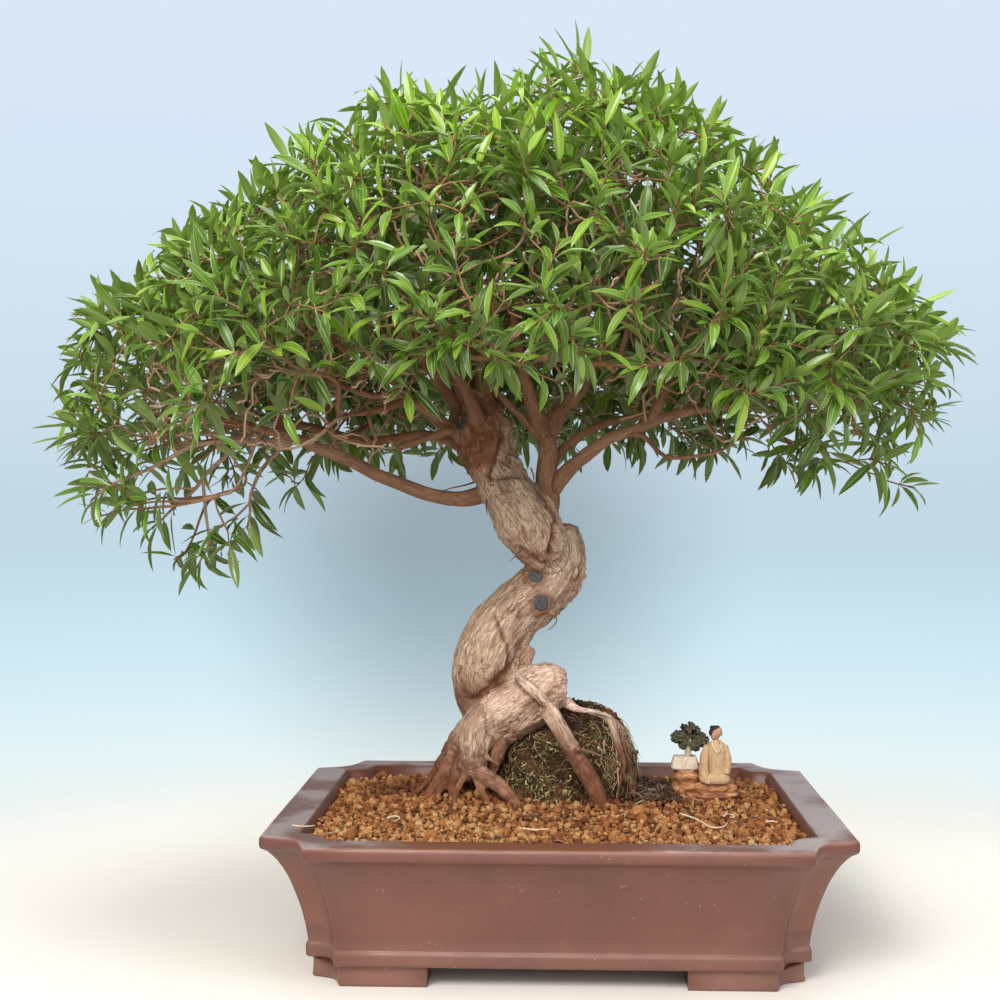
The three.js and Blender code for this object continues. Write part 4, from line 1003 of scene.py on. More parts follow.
class BONSAI_OT_pot(bpy.types.Operator):
    """Stoneware pot: rim, cavetto walls with indented corners, lower band, feet and drain holes"""
    bl_idname = "bonsai.pot"
    bl_label = "Build Pot"

    def execute(self, context):
        shape = Shape()
        self.walls(shape)
        self.plate(shape, opening(20, WALL_FOOT), False)
        self.plate(shape, pot_outline(40, 40, 27.2, FOOT_TOP), True)
        around = turns(32)
        for side in (-1, 1):
            x, y = side * DRAIN_X + DRAIN_RADIUS * np.cos(around), DRAIN_RADIUS * np.sin(around)
            rings = [np.stack([x, y, np.full(32, z)], -1) for z in (WALL_FOOT, FOOT_TOP)]
            loft(shape, rings, close=(False, False), inside=0.5)
        # Feet: each an angle that follows the indented corner
        for sx, sy in ((1, 1), (-1, 1), (-1, -1), (1, -1)):
            rings = []
            for z, inset in FOOT_STEPS:
                ring = [(sx * x, sy * y, z) for x, y in self.foot(inset, max(0, inset - 42))]
                rings.append(ring if sx * sy < 0 else ring[::-1])
            loft(shape, rings, close=(False, True), edge=0.25)
        shape.show("pot_body", [stoneware_finish()], "stoneware", "pot")
        return {"FINISHED"}

    @staticmethod
    def walls(shape):
        """Skin from under the lower band over the rim and down to the floor inside."""
        profile = [*BAND, *[(WALL_TOP - t * (WALL_TOP - WALL_FOOT - 1.0), inset) for t, inset in WALL_CURVE],
            *RIM]
        rings = [pot_outline(inset, inset, 44 - inset * 0.42, z) for z, inset in profile]
        rings += [opening(inset, z) for z, inset in HOLLOW]
        rows, around = len(rings), len(rings[0])
        heights = np.repeat([z for z, _ in profile + HOLLOW], around)
        order = np.repeat(np.arange(rows), around)
        points = np.concatenate(rings)
        points[:, 2] += np.where(points[:, 2] > 20, 0.5 * soft_noise(points, 0.02), 0)
        # Dark strip along the front of the opening
        front_strip = (order >= len(profile)) & (order <= len(profile) + 2) & (points[:, 1] < -120)
        inside = np.where(front_strip & (abs(points[:, 0]) < 150), 0.8,
            np.where(order > len(profile) + 2, 0.85, 0.0))
        rim = (heights > POT_TOP - 1.0) & (order <= len(profile) + 1)
        edge = hump(heights - POT_TOP + 1, 2.5) * (order < len(profile) - 6)
        edge = edge + hump(heights - WALL_FOOT + 1, 2.0)
        shape.add(points, ring_quads(rows, around), inside=inside, rim=rim, edge=edge)

    @staticmethod
    def foot(inset, shrink):
        hx, hy, corner, run, wide = HALF_LENGTH - inset, HALF_DEPTH - inset, 26, FOOT_RUN - shrink, FOOT_WIDTH
        outer = [(hx - corner + u * corner, hy - v * corner) for u, v in CORNER_CURVE]
        return [*outer, (hx, hy - corner - (run - corner) * 0.5), (hx, hy - run), (hx - 3, hy - run),
            (hx - wide, hy - run), (hx - wide, hy - wide - 20), (hx - wide - 6, hy - wide - 6),
            (hx - wide - 20, hy - wide), (hx - run, hy - wide), (hx - run, hy - 3), (hx - run, hy),
            (hx - corner - (run - corner) * 0.5, hy)]

    @staticmethod
    def plate(shape, outer, flip):
        """Flat face between an outline and the two drain holes."""
        edge_x, edge_y = abs(outer[:, 0]).max(), abs(outer[:, 1]).max()
        corner, z = OPENING_CORNER, outer[0, 2]
        across, deep = 41, 25
        points, quads = [], []
        for gx in np.linspace(-1, 1, across):
            for gy in np.linspace(-1, 1, deep):
                x, y = gx * edge_x, gy * edge_y
                for cx in (-DRAIN_X, DRAIN_X):
                    far = max(math.hypot(x - cx, y), 1e-6)
                    if far < DRAIN_REACH:
                        grow = DRAIN_RADIUS + far / DRAIN_REACH * (DRAIN_REACH - DRAIN_RADIUS)
                        x, y = cx + (x - cx) / far * grow, y / far * grow
                over_x, over_y = (abs(x) - (edge_x - corner)) / corner, (abs(y) - (edge_y - corner)) / corner
                if over_x > 0 and over_y > 0 and over_x + over_y > 1.0:
                    reach = 1.0 / (over_x + over_y)
                    x = math.copysign(edge_x - corner + over_x * reach * corner, x)
                    y = math.copysign(edge_y - corner + over_y * reach * corner, y)
                points.append((x, y, z))
        for a in range(across - 1):
            for b in range(deep - 1):
                first = a * deep + b
                quad = [first, first + deep, first + deep + 1, first + 1]
                x, y, _ = np.mean([points[q] for q in quad], axis=0)
                if math.hypot(abs(x) - DRAIN_X, y) >= DRAIN_RADIUS - 1.5:
                    quads.append(quad[::-1] if flip else quad)
        shape.add(points, np.array(quads), inside=0.6)


# Soil


def soil_height(x, y):
    rise = SOIL_RISE * hump(x - 5, 130, y - 55, 85)
    heaped = 7 * hump(x + 86, 46, y - 8, 26)
    return SOIL_LEVEL + rise + heaped - 1.5 * hump(y - 165, 40)


def in_ball(x, y, z, grow=0.0):
    far = [(x - BALL["x"], BALL["rx"]), (y - BALL["y"], BALL["ry"]), (z - BALL["z"], BALL["up"])]
    return sum((abs(d) / (reach + grow)) ** BALL_POWER for d, reach in far) < 1


GOLDEN = (1 + 5 ** 0.5) / 2
PEBBLE = np.array([(-1, GOLDEN, 0), (1, GOLDEN, 0), (-1, -GOLDEN, 0), (1, -GOLDEN, 0), (0, -1, GOLDEN),
    (0, 1, GOLDEN), (0, -1, -GOLDEN), (0, 1, -GOLDEN), (GOLDEN, 0, -1), (GOLDEN, 0, 1), (-GOLDEN, 0, -1),
    (-GOLDEN, 0, 1)]) / math.hypot(1, GOLDEN)
PEBBLE_FACES = np.array([(0, 11, 5), (0, 5, 1), (0, 1, 7), (0, 7, 10), (0, 10, 11), (1, 5, 9), (5, 11, 4),
    (11, 10, 2), (10, 7, 6), (7, 1, 8), (3, 9, 4), (3, 4, 2), (3, 2, 6), (3, 6, 8), (3, 8, 9), (4, 9, 5),
    (2, 4, 11), (6, 2, 10), (8, 6, 7), (9, 8, 1)])


def lumps(centres, sizes, rng, jitter=0.22):
    """Points and faces of rough pebbles, all at once."""
    n, per = len(centres), len(PEBBLE)
    sizes = np.asarray(sizes, float).reshape(n, -1) * np.ones((1, 3))
    local = PEBBLE[None] * (1 + rng.uniform(-jitter, jitter, (n, per, 1))) * sizes[:, None] / 2
    w, x, y, z = unit(rng.normal(size=(n, 4))).T
    turn = np.stack([1 - 2 * (y * y + z * z), 2 * (x * y - w * z), 2 * (x * z + w * y), 2 * (x * y + w * z),
        1 - 2 * (x * x + z * z), 2 * (y * z - w * x), 2 * (x * z - w * y), 2 * (y * z + w * x),
        1 - 2 * (x * x + y * y)], -1).reshape(n, 3, 3)
    points = np.einsum("nij,nkj->nki", turn, local) + np.asarray(centres)[:, None]
    faces = PEBBLE_FACES[None] + (np.arange(n) * per)[:, None, None]
    return points.reshape(-1, 3), faces.reshape(-1, 3)


def each(values):
    """Values of pebbles, given to each of their points."""
    return np.repeat(values, len(PEBBLE), axis=0)


def inside_outline(outline, x, y):
    hit = np.zeros(len(x), bool)
    for (x0, y0, _), (x1, y1, _) in zip(outline, np.roll(outline, -1, axis=0)):
        hit ^= ((y0 > y) != (y1 > y)) & (x < (x1 - x0) * (y - y0) / (y1 - y0 + 1e-12) + x0)
    return hit


class BONSAI_OT_soil(bpy.types.Operator):
    """Bed of baked clay grains that rises to the foot of the tree"""
    bl_idname = "bonsai.soil"
    bl_label = "Build Soil"

    def execute(self, context):
        self.bed()
        self.grains(context.scene.bonsai_sizes)
        return {"FINISHED"}

    @staticmethod
    def bed():
        """Fine soil under the grains."""
        shape = Shape()
        steps = [(27.35, 20), (70, 14), (108, 4.2), (BED_EDGE, 3.5)]
        rings = [opening(inset + 0.35, z) for z, inset in steps]
        loft(shape, rings, close=(True, False))
        sheet = [rings[-1] * [t, t, 1] for t in np.linspace(1, 0, 26)[:-1]]
        for ring in sheet[1:]:
            ring[:, 2] = soil_height(ring[:, 0], ring[:, 1]) - 2.6
            ring[:, 2] += 1.4 * soft_noise(ring, 0.11)
        loft(shape, sheet, close=(False, True))
        shape.show("soil_bed", [bed_painted_shade_finish()], "clay_grains", "soil")

    @staticmethod
    def grains(sizes):
        """Loose grains, one thin layer, with crumbs between them."""
        rng = np.random.RandomState(3)
        step = math.sqrt(426 * 326 / sizes.grains)
        gx, gy = np.meshgrid(np.arange(-214, 214, step), np.arange(-164, 164, step))
        x = gx.ravel() + rng.uniform(-0.5, 0.5, gx.size) * step
        y = gy.ravel() + rng.uniform(-0.5, 0.5, gx.size) * step
        z = soil_height(x, y)
        keep = inside_outline(opening(4.5, 0), x, y) & ~in_ball(x, y, z, -4)
        x, y, z = x[keep], y[keep], z[keep]
        n, crumbs = len(x), 900
        big = sizes.grain_size / MM * np.exp(rng.normal(0, 0.27, n))
        z = z - 1.4 + rng.uniform(-2.2, 2.0, n) + 0.15 * big
        spread = [big * rng.uniform(0.85, 1.25, n), big * rng.uniform(0.8, 1.1, n),
            big * rng.uniform(0.65, 0.95, n)]
        skin = lumps(np.stack([x, y, z], -1), np.stack(spread, -1), rng)

        def stain(level, cx, cy, rx, ry):
            return np.clip(level - np.hypot((x - cx) / rx, (y - cy) / ry), 0, 1)

        wet = stain(1.25, -95, 95, 95, 62) + stain(1.2, 70, 45, 75, 50)
        wet = np.clip(wet + 0.35 * stain(1, 10, 40, 110, 70), 0, 1)
        patchy = np.clip(soft_noise(np.stack([x, y, np.full(n, 3 / 0.022)], -1), 0.022), 0, 1)
        wet = np.clip(wet * 1.35 + 0.5 * patchy + rng.uniform(-0.25, 0.15, n), 0, 1)
        dry = stain(1.3, -110, -100, 110, 70) + 0.7 * stain(1.2, 150, -110, 60, 50)
        shape = Shape()
        value = [np.clip(rng.beta(1.5, 1.5, n) + 0.22 * dry, 0, 1), wet, np.zeros(n)]
        shape.add(*skin, grain=each(np.stack(value, -1)))
        few = rng.choice(n, crumbs)
        spots = np.stack([x[few], y[few], z[few] + 0.6], -1)
        spots = spots + rng.uniform(-2.6, 2.6, (crumbs, 3)) * [1, 1, 0.5]
        skin = lumps(spots, rng.uniform(1.6, 3.2, (crumbs, 1)) * rng.uniform(0.75, 1.2, (crumbs, 3)), rng)
        value = [rng.beta(1.6, 1.2, crumbs), wet[few], np.zeros(crumbs)]
        shape.add(*skin, grain=each(np.stack(value, -1)))
        shape.show("soil_grains", [clay_finish()], "clay_grains", smooth=False)


# Ball


def ball_point(u, v):
    """Point on the ball's skin at an angle round it and an angle down from its top."""
    d = np.stack([np.sin(v) * np.cos(u), np.sin(v) * np.sin(u), np.cos(v)], -1)
    d = d * (np.abs(d) ** BALL_POWER).sum(-1, keepdims=True) ** (-1 / BALL_POWER)
    bump = 1 + 0.035 * np.sin(5 * d[..., :1] + 3 * d[..., 2:]) * np.cos(4 * d[..., 1:2] + 2 * d[..., 2:])
    up = np.where(d[..., 2:] > 0, BALL["up"], BALL["down"])
    bump = bump * np.where(d[..., :1] > 0, 1 - 0.09 * np.clip(d[..., :1] * 2, 0, 1), 1)
    return np.concatenate([BALL["x"] + d[..., :1] * BALL["rx"] * bump,
        BALL["y"] + d[..., 1:2] * BALL["ry"] * bump, BALL["z"] + d[..., 2:] * up], -1)


class BONSAI_OT_ball(bpy.types.Operator):
    """Peat ball with its moss, root threads and crumbs"""
    bl_idname = "bonsai.ball"
    bl_label = "Build Moss Ball"

    def execute(self, context):
        rng = np.random.RandomState(8)
        shape = Shape()
        u = turns(168)
        v = np.linspace(0.03, 1.9, 88)
        points = np.concatenate([ball_point(u, np.full_like(u, angle)) for angle in v[::-1]])
        middle = np.array([BALL["x"], BALL["y"], BALL["z"]])
        proud = 9.0 * rough_noise(points, 0.038, 0.62, 2.2, 6) + 2.4 * soft_noise(points, 0.32) - 2.6
        points = points + unit(points - middle) * proud[:, None]
        loft(shape, points.reshape(len(v), -1, 3))
        shape.show("moss_ball_body", [peat_finish()], "peat_moss", "moss_ball")
        # Root threads that run down over the ball, most on its right side
        threads = Shape()
        for k in range(190):
            right = k < 110
            u0 = rng.uniform(-1.05, 0.35) if right else rng.uniform(-3.0, 3.0)
            v0 = rng.uniform(0.42, 1.0) if right else rng.uniform(0.4, 1.3)
            run = rng.uniform(0.25, 0.85) if right else rng.uniform(0.08, 0.4)
            turn = rng.normal(0, 0.14 if right else 0.45)
            t = np.linspace(0, 1, 12)
            angle = u0 + 0.12 * np.sin(t * rng.uniform(2, 8) + rng.uniform(0, 6)) + turn * t
            path = ball_point(angle, np.minimum(v0 + run * t, 1.62))
            lift = 1.0 + 2.6 * np.sin(np.pi * t) * rng.uniform(0, 1) ** 2
            lift = lift + (k % 8 == 3) * rng.uniform(2, 9) * t ** 2
            path = path + unit(path - middle) * lift[:, None]
            thick = rng.uniform(0.22, 0.5) if k % 9 else rng.uniform(0.7, 1.1)
            tone = rng.beta(2, 1.4) if right else rng.beta(1.2, 2.2)
            tube(threads, crooked(path, 2.6, k), np.linspace(thick, thick * 0.4, 12), 4, tone=tone, seed=k)
        fibre = strand_finish("Root Threads", (0.20, 0.09, 0.045), (0.66, 0.48, 0.33))
        threads.show("ball_threads", [fibre], "peat_moss")
        # Matted moss, needles and hair roots
        mat = Shape()
        n = 6400
        angle, down = rng.uniform(-np.pi, np.pi, n), np.arccos(rng.uniform(-0.12, 0.98, n))
        spots = ball_point(angle, down)
        away = unit(spots - middle)
        high, right = np.clip((spots[:, 2] - 160) / 30, 0, 1), np.clip((spots[:, 0] - 30) / 30, 0, 1)
        tone = 0.48 + 0.55 * soft_noise(spots, 0.04) + rng.normal(0, 0.28, n) - 0.3 * high - 0.12 * right
        tone = np.clip(tone, 0, 1)
        spots = spots + away * rng.uniform(-1.0, 2.6, (n, 1))
        tangle(mat, spots, away, rng, rng.uniform(3.4, 10.5, n), rng.uniform(0.3, 0.76, n), tone)
        spots = ball_point(rng.uniform(-2.6, -0.6, 26), np.arccos(rng.uniform(0.1, 0.7, 26)))
        flat = rng.uniform(2.2, 4.6, (26, 3)) * [1, 0.5, 1]
        skin = lumps(spots + unit(spots - middle) * 1.2, flat, rng, 0.2)
        mat.add(*skin, tone=each(rng.uniform(0.78, 0.9, 26)))
        mat.show("ball_moss", [moss_finish()], "peat_moss")
        return {"FINISHED"}


def tangle(shape, spots, away, rng, length, thick, tone):
    """Short bent fibres lying on a surface, all at once: spindles of three sides."""
    n = len(spots)
    side = unit(np.cross(away, rng.normal(size=(n, 3))))
    other = np.cross(away, side)
    run = np.array([-0.5, -0.14, 0.24, 0.5])[None, :, None]
    girth = np.array([0.0, 1.0, 0.8, 0.0])
    curl, arch = rng.uniform(-1.0, 1.0, (n, 1, 1)), rng.uniform(-0.1, 0.9, (n, 1, 1))
    size = np.asarray(length, float).reshape(n, 1, 1)
    path = spots[:, None] + side[:, None] * run * size + other[:, None] * curl * run ** 2 * size
    path = path + away[:, None] * (arch * (0.25 - run ** 2) * size * 0.5)
    radius = (girth[None] * np.asarray(thick).reshape(n, 1))[..., None]
    rings = []
    for k in range(3):
        turn = 2 * math.pi * k / 3
        rings.append(path + (other[:, None] * math.cos(turn) + away[:, None] * math.sin(turn)) * radius)
    points = np.stack(rings, 2).reshape(n, 12, 3)
    faces = []
    for k in range(3):
        j = (k + 1) % 3
        faces += [(0, 3 + j, 3 + k), (3 + k, 3 + j, 6 + j), (3 + k, 6 + j, 6 + k), (6 + k, 6 + j, 9)]
    faces = (np.array(faces)[None] + (np.arange(n) * 12)[:, None, None]).reshape(-1, 3)
    shape.add(points.reshape(-1, 3), faces, tone=np.repeat(tone, 12))


# Tree


# Added to the length along each stem, so that it tells the stems apart
APART = 500
BLOCK = 4000


def nearest_axis(points, sweeps, step=3.0):
    """Place of each point round and along its nearest stem, that stem's radius and its number."""
    rows = []
    for k, stations in enumerate(sweeps):
        path, radius = resample(stations, step)
        rows.append((path, *frames_along(path), lengths_along(path) + APART * k, radius))
    centres, ways, sides, ups, runs, radii = map(np.concatenate, zip(*rows))
    best = np.zeros(len(points), int)
    for start in range(0, len(points), BLOCK):
        block = points[start:start + BLOCK]
        away = np.linalg.norm(block[:, None] - centres[None], axis=2) - radii[None]
        best[start:start + BLOCK] = away.argmin(1)
    offset = points - centres[best]
    run = runs[best] + (offset * ways[best]).sum(1)
    round_it = [(offset * sides[best]).sum(1), (offset * ups[best]).sum(1), run]
    return np.stack(round_it, -1), radii[best], runs[best] // APART


# Places where the bark is torn and knobbly: x, z, half widths, height
RAGGED = [(22, 322, 9, 28, 3.0), (-4, 292, 26, 8, 2.6), (-26, 346, 16, 9, 2.4), (-38, 446, 9, 34, 3.2),
    (-84, 452, 14, 30, 3.0), (-52, 372, 9, 12, 1.6), (0, 238, 12, 14, 2.0), (-108, 150, 16, 20, 2.2)]
# Pruning cuts: x, z, radius
WOUNDS = [(-20.4, 327.9, 6.6), (-15.6, 302.7, 7.4), (-91.7, 474.4, 5.2)]
# Thin dead roots and stubs: x, y and z along each
ROOTLETS = [
    [(-79.65, 50, 418.27), (-91.11, 30, 414.45), (-100.66, 28, 412.54), (-109.25, 30, 409.67)],
    [(-67.23, 30, 401.08), (-67.23, 24, 393.44), (-66.28, 22, 387.71)],
    [(-33.81, 32, 354.28), (-40.49, 24, 347.6), (-45.27, 26, 342.82)],
    [(-5.16, 40, 287.43), (-11.84, 26, 281.7), (-18.53, 24, 278.84), (-26.17, 30, 275.97)],
    [(-1.34, 38, 294.12), (-1.34, 28, 284.57), (-8.98, 28, 276.92)],
    [(-25.21, 34, 431.64), (-22.35, 30, 423.04), (-23.3, 32, 417.31)],
]


class BONSAI_OT_trunk(bpy.types.Operator):
    """Trunk, root crown and roots as one grown form with furrowed bark"""
    bl_idname = "bonsai.trunk"
    bl_label = "Build Trunk"

    def execute(self, context):
        sizes = context.scene.bonsai_sizes
        grown = [*TRUNK, ROOT_CROWN, *ROOTS, BUTTRESS, KNOB]
        stubs = [limb[:4] for limb in LIMBS]
        mesh = self.grow(context, sizes, grown, stubs)
        n = len(mesh.vertices)
        points, normals = np.zeros(n * 3, np.float32), np.zeros(n * 3, np.float32)
        mesh.vertices.foreach_get("co", points)
        mesh.vertices.foreach_get("normal", normals)
        points = (points.reshape(-1, 3) - HERE) / MM
        normals = normals.reshape(-1, 3).astype(float)
        grain, radius, stem = nearest_axis(points.astype(float), [*grown, *stubs])
        scale = np.clip(radius / 26, 0.12, 1.0)

        def pattern(across, lengthwise, octaves, offset):
            return rough_noise(grain * [across, across, lengthwise] + offset, 1, 0.6, 2.0, octaves)

        flute = pattern(0.055, 0.011, 2, 3.0)
        wave = pattern(0.14, 0.028, 3, 9.0)
        cord = pattern(0.33, 0.05, 3, 17.0)
        wrinkle = pattern(0.06, 0.16, 2, 31.0)
        burl = rough_noise(points, 0.075, 0.8, 2.2, 4)
        chips = rough_noise(points, 0.2, 0.9, 2.1, 3)
        furrow = -0.8 * hump(wave, 0.08) - 0.45 * hump(cord, 0.10)
        depth = sizes.furrow_depth / MM
        x, z = points[:, 0], points[:, 2]
        rising = np.clip((z - 412) / 30, 0, 1)
        is_root, is_limb = (stem >= len(TRUNK)) & (stem < len(grown)), stem >= len(grown)
        knotty = np.where(is_root, np.clip((190 - z) / 30, 0, 1) * 2.4, 0)
        push = 1.6 * flute + 0.7 * wave + 0.5 * cord + 1.25 * furrow + 0.4 * wrinkle
        push = depth * scale * (push + (2.6 * rising + 0.5 + knotty) * burl + (0.5 * knotty + 0.15) * chips)
        front = np.clip(0.4 - 2 * normals[:, 1], 0, 1)
        # dark gathers painted shade in the creases and hollows, only on faces that look to the front; a dark
        # ring round each pruning cut is added to it below
        dark, shift = np.zeros(n), np.zeros(n)
        for line, width, deep, shade in CREASES:
            away = np.full(n, 1e9)
            for (x0, z0), (x1, z1) in zip(line, line[1:]):
                t = ((x - x0) * (x1 - x0) + (z - z0) * (z1 - z0)) / ((x1 - x0) ** 2 + (z1 - z0) ** 2)
                t = np.clip(t, 0, 1)
                away = np.minimum(away, np.hypot(x - x0 - t * (x1 - x0), z - z0 - t * (z1 - z0)))
            away = away + 1.2 * wave
            push -= front * deep * hump(away, width)
            dark = np.maximum(dark, front * shade * hump(away, 0.8 * width))
        for x0, z0, rx, rz, lift, shade, change in SWELLS:
            near = hump(x - x0, rx, z - z0, rz) * (points[:, 1] < 75)
            push += lift * near
            dark = np.maximum(dark, shade * near)
            shift += change * near
        for x0, z0, rx, rz, rugged in RAGGED:
            push += rugged * np.clip(chips, -0.6, 0.8) * hump(x - x0, rx, z - z0, rz)
        cuts = self.cuts(points, normals)
        for centre, _, size in cuts:
            far = np.linalg.norm(points - centre, axis=1) / size
            push = np.where(far < 1.0, -0.4, push) + 2.0 * hump(far - 1.35, 0.28)
            dark = np.maximum(dark, 0.42 * hump(far - 1.4, 0.4))
        points = points + normals * push[:, None]
        mesh.vertices.foreach_set("co", ((points * MM) + HERE).astype(np.float32).ravel())
        # Left of the long crack the neck of the trunk is brown, like the limbs that leave it
        x, y, z = points.T
        torn = np.clip((np.interp(z, [420, 466], [-68, -50]) + 2.5 * chips - x) / 5 + 0.5, 0, 1)
        brown = np.maximum(torn * np.clip((z - 416 + 9 * chips) / 12, 0, 1), np.clip((z - 462) / 14, 0, 1))
        tone = 0.5 - 0.24 * brown - 0.1 * np.clip((z - 412) / 60, 0, 1)
        # Roots go from red brown at the soil up to pale pink on the top of the root crown; the pale top is
        # partly a painted highlight of the light from above
        root_tone_and_highlight = np.interp(z + 10 * burl, [112, 146, 174, 204], [0.04, 0.16, 0.52, 0.95])
        tone = np.where(is_root, root_tone_and_highlight, tone)
        tone = np.where(stem == grown.index(BUTTRESS), 0.2, tone)
        tone = np.where(stem == grown.index(KNOB), 0.35, tone)
        tone = np.where(is_limb, 0.14, tone + 0.1 * flute + shift)
        for centre, _, size in cuts:
            far = np.linalg.norm(points - centre, axis=1) / size
            tone = tone + (0.16 - tone) * 0.85 * hump(far - 1.3, 0.32)
        # Painted shade: darker in the crotch where the limbs leave the trunk, in a spot low among the roots
        # by the buttress, and in the sunken furrows; the creases and hollows above join it
        painted_crotch_shade = hump(x + 76, 34, z - 502, 26)
        under = hump(x + 48, 18, z - 150, 16, y - 46, 26)
        hollow = np.clip(-push / (depth * 2.6) - 0.25, 0, 0.8) * np.clip(scale * 1.6, 0, 1)
        hollow = np.clip(np.maximum(hollow, dark) + 0.6 * painted_crotch_shade + 0.6 * under, 0, 0.95)
        deeper = np.interp(x, [-98, -86, -64, -12, 4], [1.0, 0.5, 0.5, 0.9, 1.05])
        # The damp lower roots and the brown neck below are stain, carried in the same value as the painted
        # shade
        wet_foot = np.clip((201 - z) / 34, 0, 1) * np.clip(deeper + 0.8 * burl + 0.5 * chips, 0.1, 1.1)
        hollow = np.where(is_root, np.maximum(hollow, 0.84 * wet_foot), hollow)
        # Painted shade in a dark patch where the left roots meet under the bulb
        hollow = np.maximum(hollow, (0.85 + 0.4 * chips) * hump(x + 88, 17, z - 211, 17))
        neck = torn * np.clip((z - 412) / 20, 0, 1) * np.clip(0.12 + 1.5 * chips, 0, 0.75)
        hollow = np.maximum(hollow, np.where(is_limb, 0, neck))
        kept = mesh.attributes.new("grain", "FLOAT_VECTOR", "POINT")
        kept.data.foreach_set("vector", grain.astype(np.float32).ravel())
        for key, data in (("tone", tone), ("hollow", hollow)):
            mesh.attributes.new(key, "FLOAT", "POINT").data.foreach_set("value", data.astype(np.float32))
        show("trunk", mesh, [bark_finish()], "bark", "tree")
        self.paste(cuts)
        self.rootlets()
        return {"FINISHED"}

    @staticmethod
    def grow(context, sizes, grown, stubs):
        """One skin over all the stems, its joints softened."""
        core = Shape()
        for stations in grown:
            swept(core, stations, 6, 28)
        for limb in stubs:
            path, radii = resample(limb, 5)
            t = np.linspace(0, 1, len(radii))
            tube(core, path, radii + 0.5 + 2.2 * np.exp(-4 * t) - 1.6 * t ** 4, 18)
        rough = bpy.data.objects.new("rough", core.mesh("rough"))
        context.scene.collection.objects.link(rough)
        remesh = rough.modifiers.new("Grown", "REMESH")
        remesh.mode, remesh.use_smooth_shade = "VOXEL", True
        remesh.voxel_size = sizes.bark_voxel * 1
        smooth = rough.modifiers.new("Soft", "SMOOTH")
        smooth.factor, smooth.iterations = 0.5, 6
        whole = rough.evaluated_get(context.evaluated_depsgraph_get())
        mesh = bpy.data.meshes.new_from_object(whole)
        bpy.data.objects.remove(rough)
        mesh.name = "trunk"
        return mesh

    @staticmethod
    def cuts(points, normals):
        """Centre, direction and radius of each pruning cut, on the skin."""
        found = []
        for x, z, size in WOUNDS:
            near = np.flatnonzero((np.hypot(points[:, 0] - x, points[:, 2] - z) < 3) & (normals[:, 1] < -0.2))
            if not len(near):
                raise RuntimeError("a pruning cut finds no bark")
            near = near[points[near, 1] < points[near, 1].min() + 4]
            found.append((points[near].mean(0), unit(normals[near].mean(0)), size))
        return found

    @staticmethod
    def paste(cuts):
        """Grey discs of wound paste on the pruning cuts."""
        shape = Shape()
        rng = np.random.RandomState(4)
        angle = turns(40)
        for centre, normal, size in cuts:
            side = unit(np.cross(normal, [0.2, 0, 1.0]))
            up = np.cross(normal, side)
            ray = np.cos(angle)[:, None] * side + np.sin(angle)[:, None] * up
            rings = []
            for t, lift in ((1.0, -1.0), (1.0, 0.5), (0.93, 1.1), (0.75, 1.3), (0.5, 1.2), (0.25, 1.1)):
                r = size * t * (1 + 0.06 * np.sin(3 * angle + size) + 0.03 * rng.uniform(-1, 1, 40))
                h = lift + 0.25 * rng.uniform(-1, 1, 40) * (lift > 0)
                rings.append(centre + r[:, None] * ray + h[:, None] * normal)
            loft(shape, rings)
        shape.show("wound_paste", [paste_finish()], "bark")

    @staticmethod
    def rootlets():
        """Fine dead roots and stubs that stand off the trunk."""
        shape = Shape()
        for n, line in enumerate(ROOTLETS):
            points = catmull(line, np.linspace(0, 1, 12))
            tube(shape, points, np.linspace(0.9, 0.4, 12), 6, tone=0.2 + 0.1 * n, seed=n)
        dry = strand_finish("Dead Rootlets", (0.05, 0.025, 0.015), (0.30, 0.18, 0.10))
        shape.show("dead_rootlets", [dry], "bark")


# Bare twigs in five zones, by the number at which each zone ends, the last one in front of the crown's middle
ALL_ROUND, LOW_LEFT, LOW_RIGHT, TOP, TWIGS = 520, 860, 940, 1180, 1500


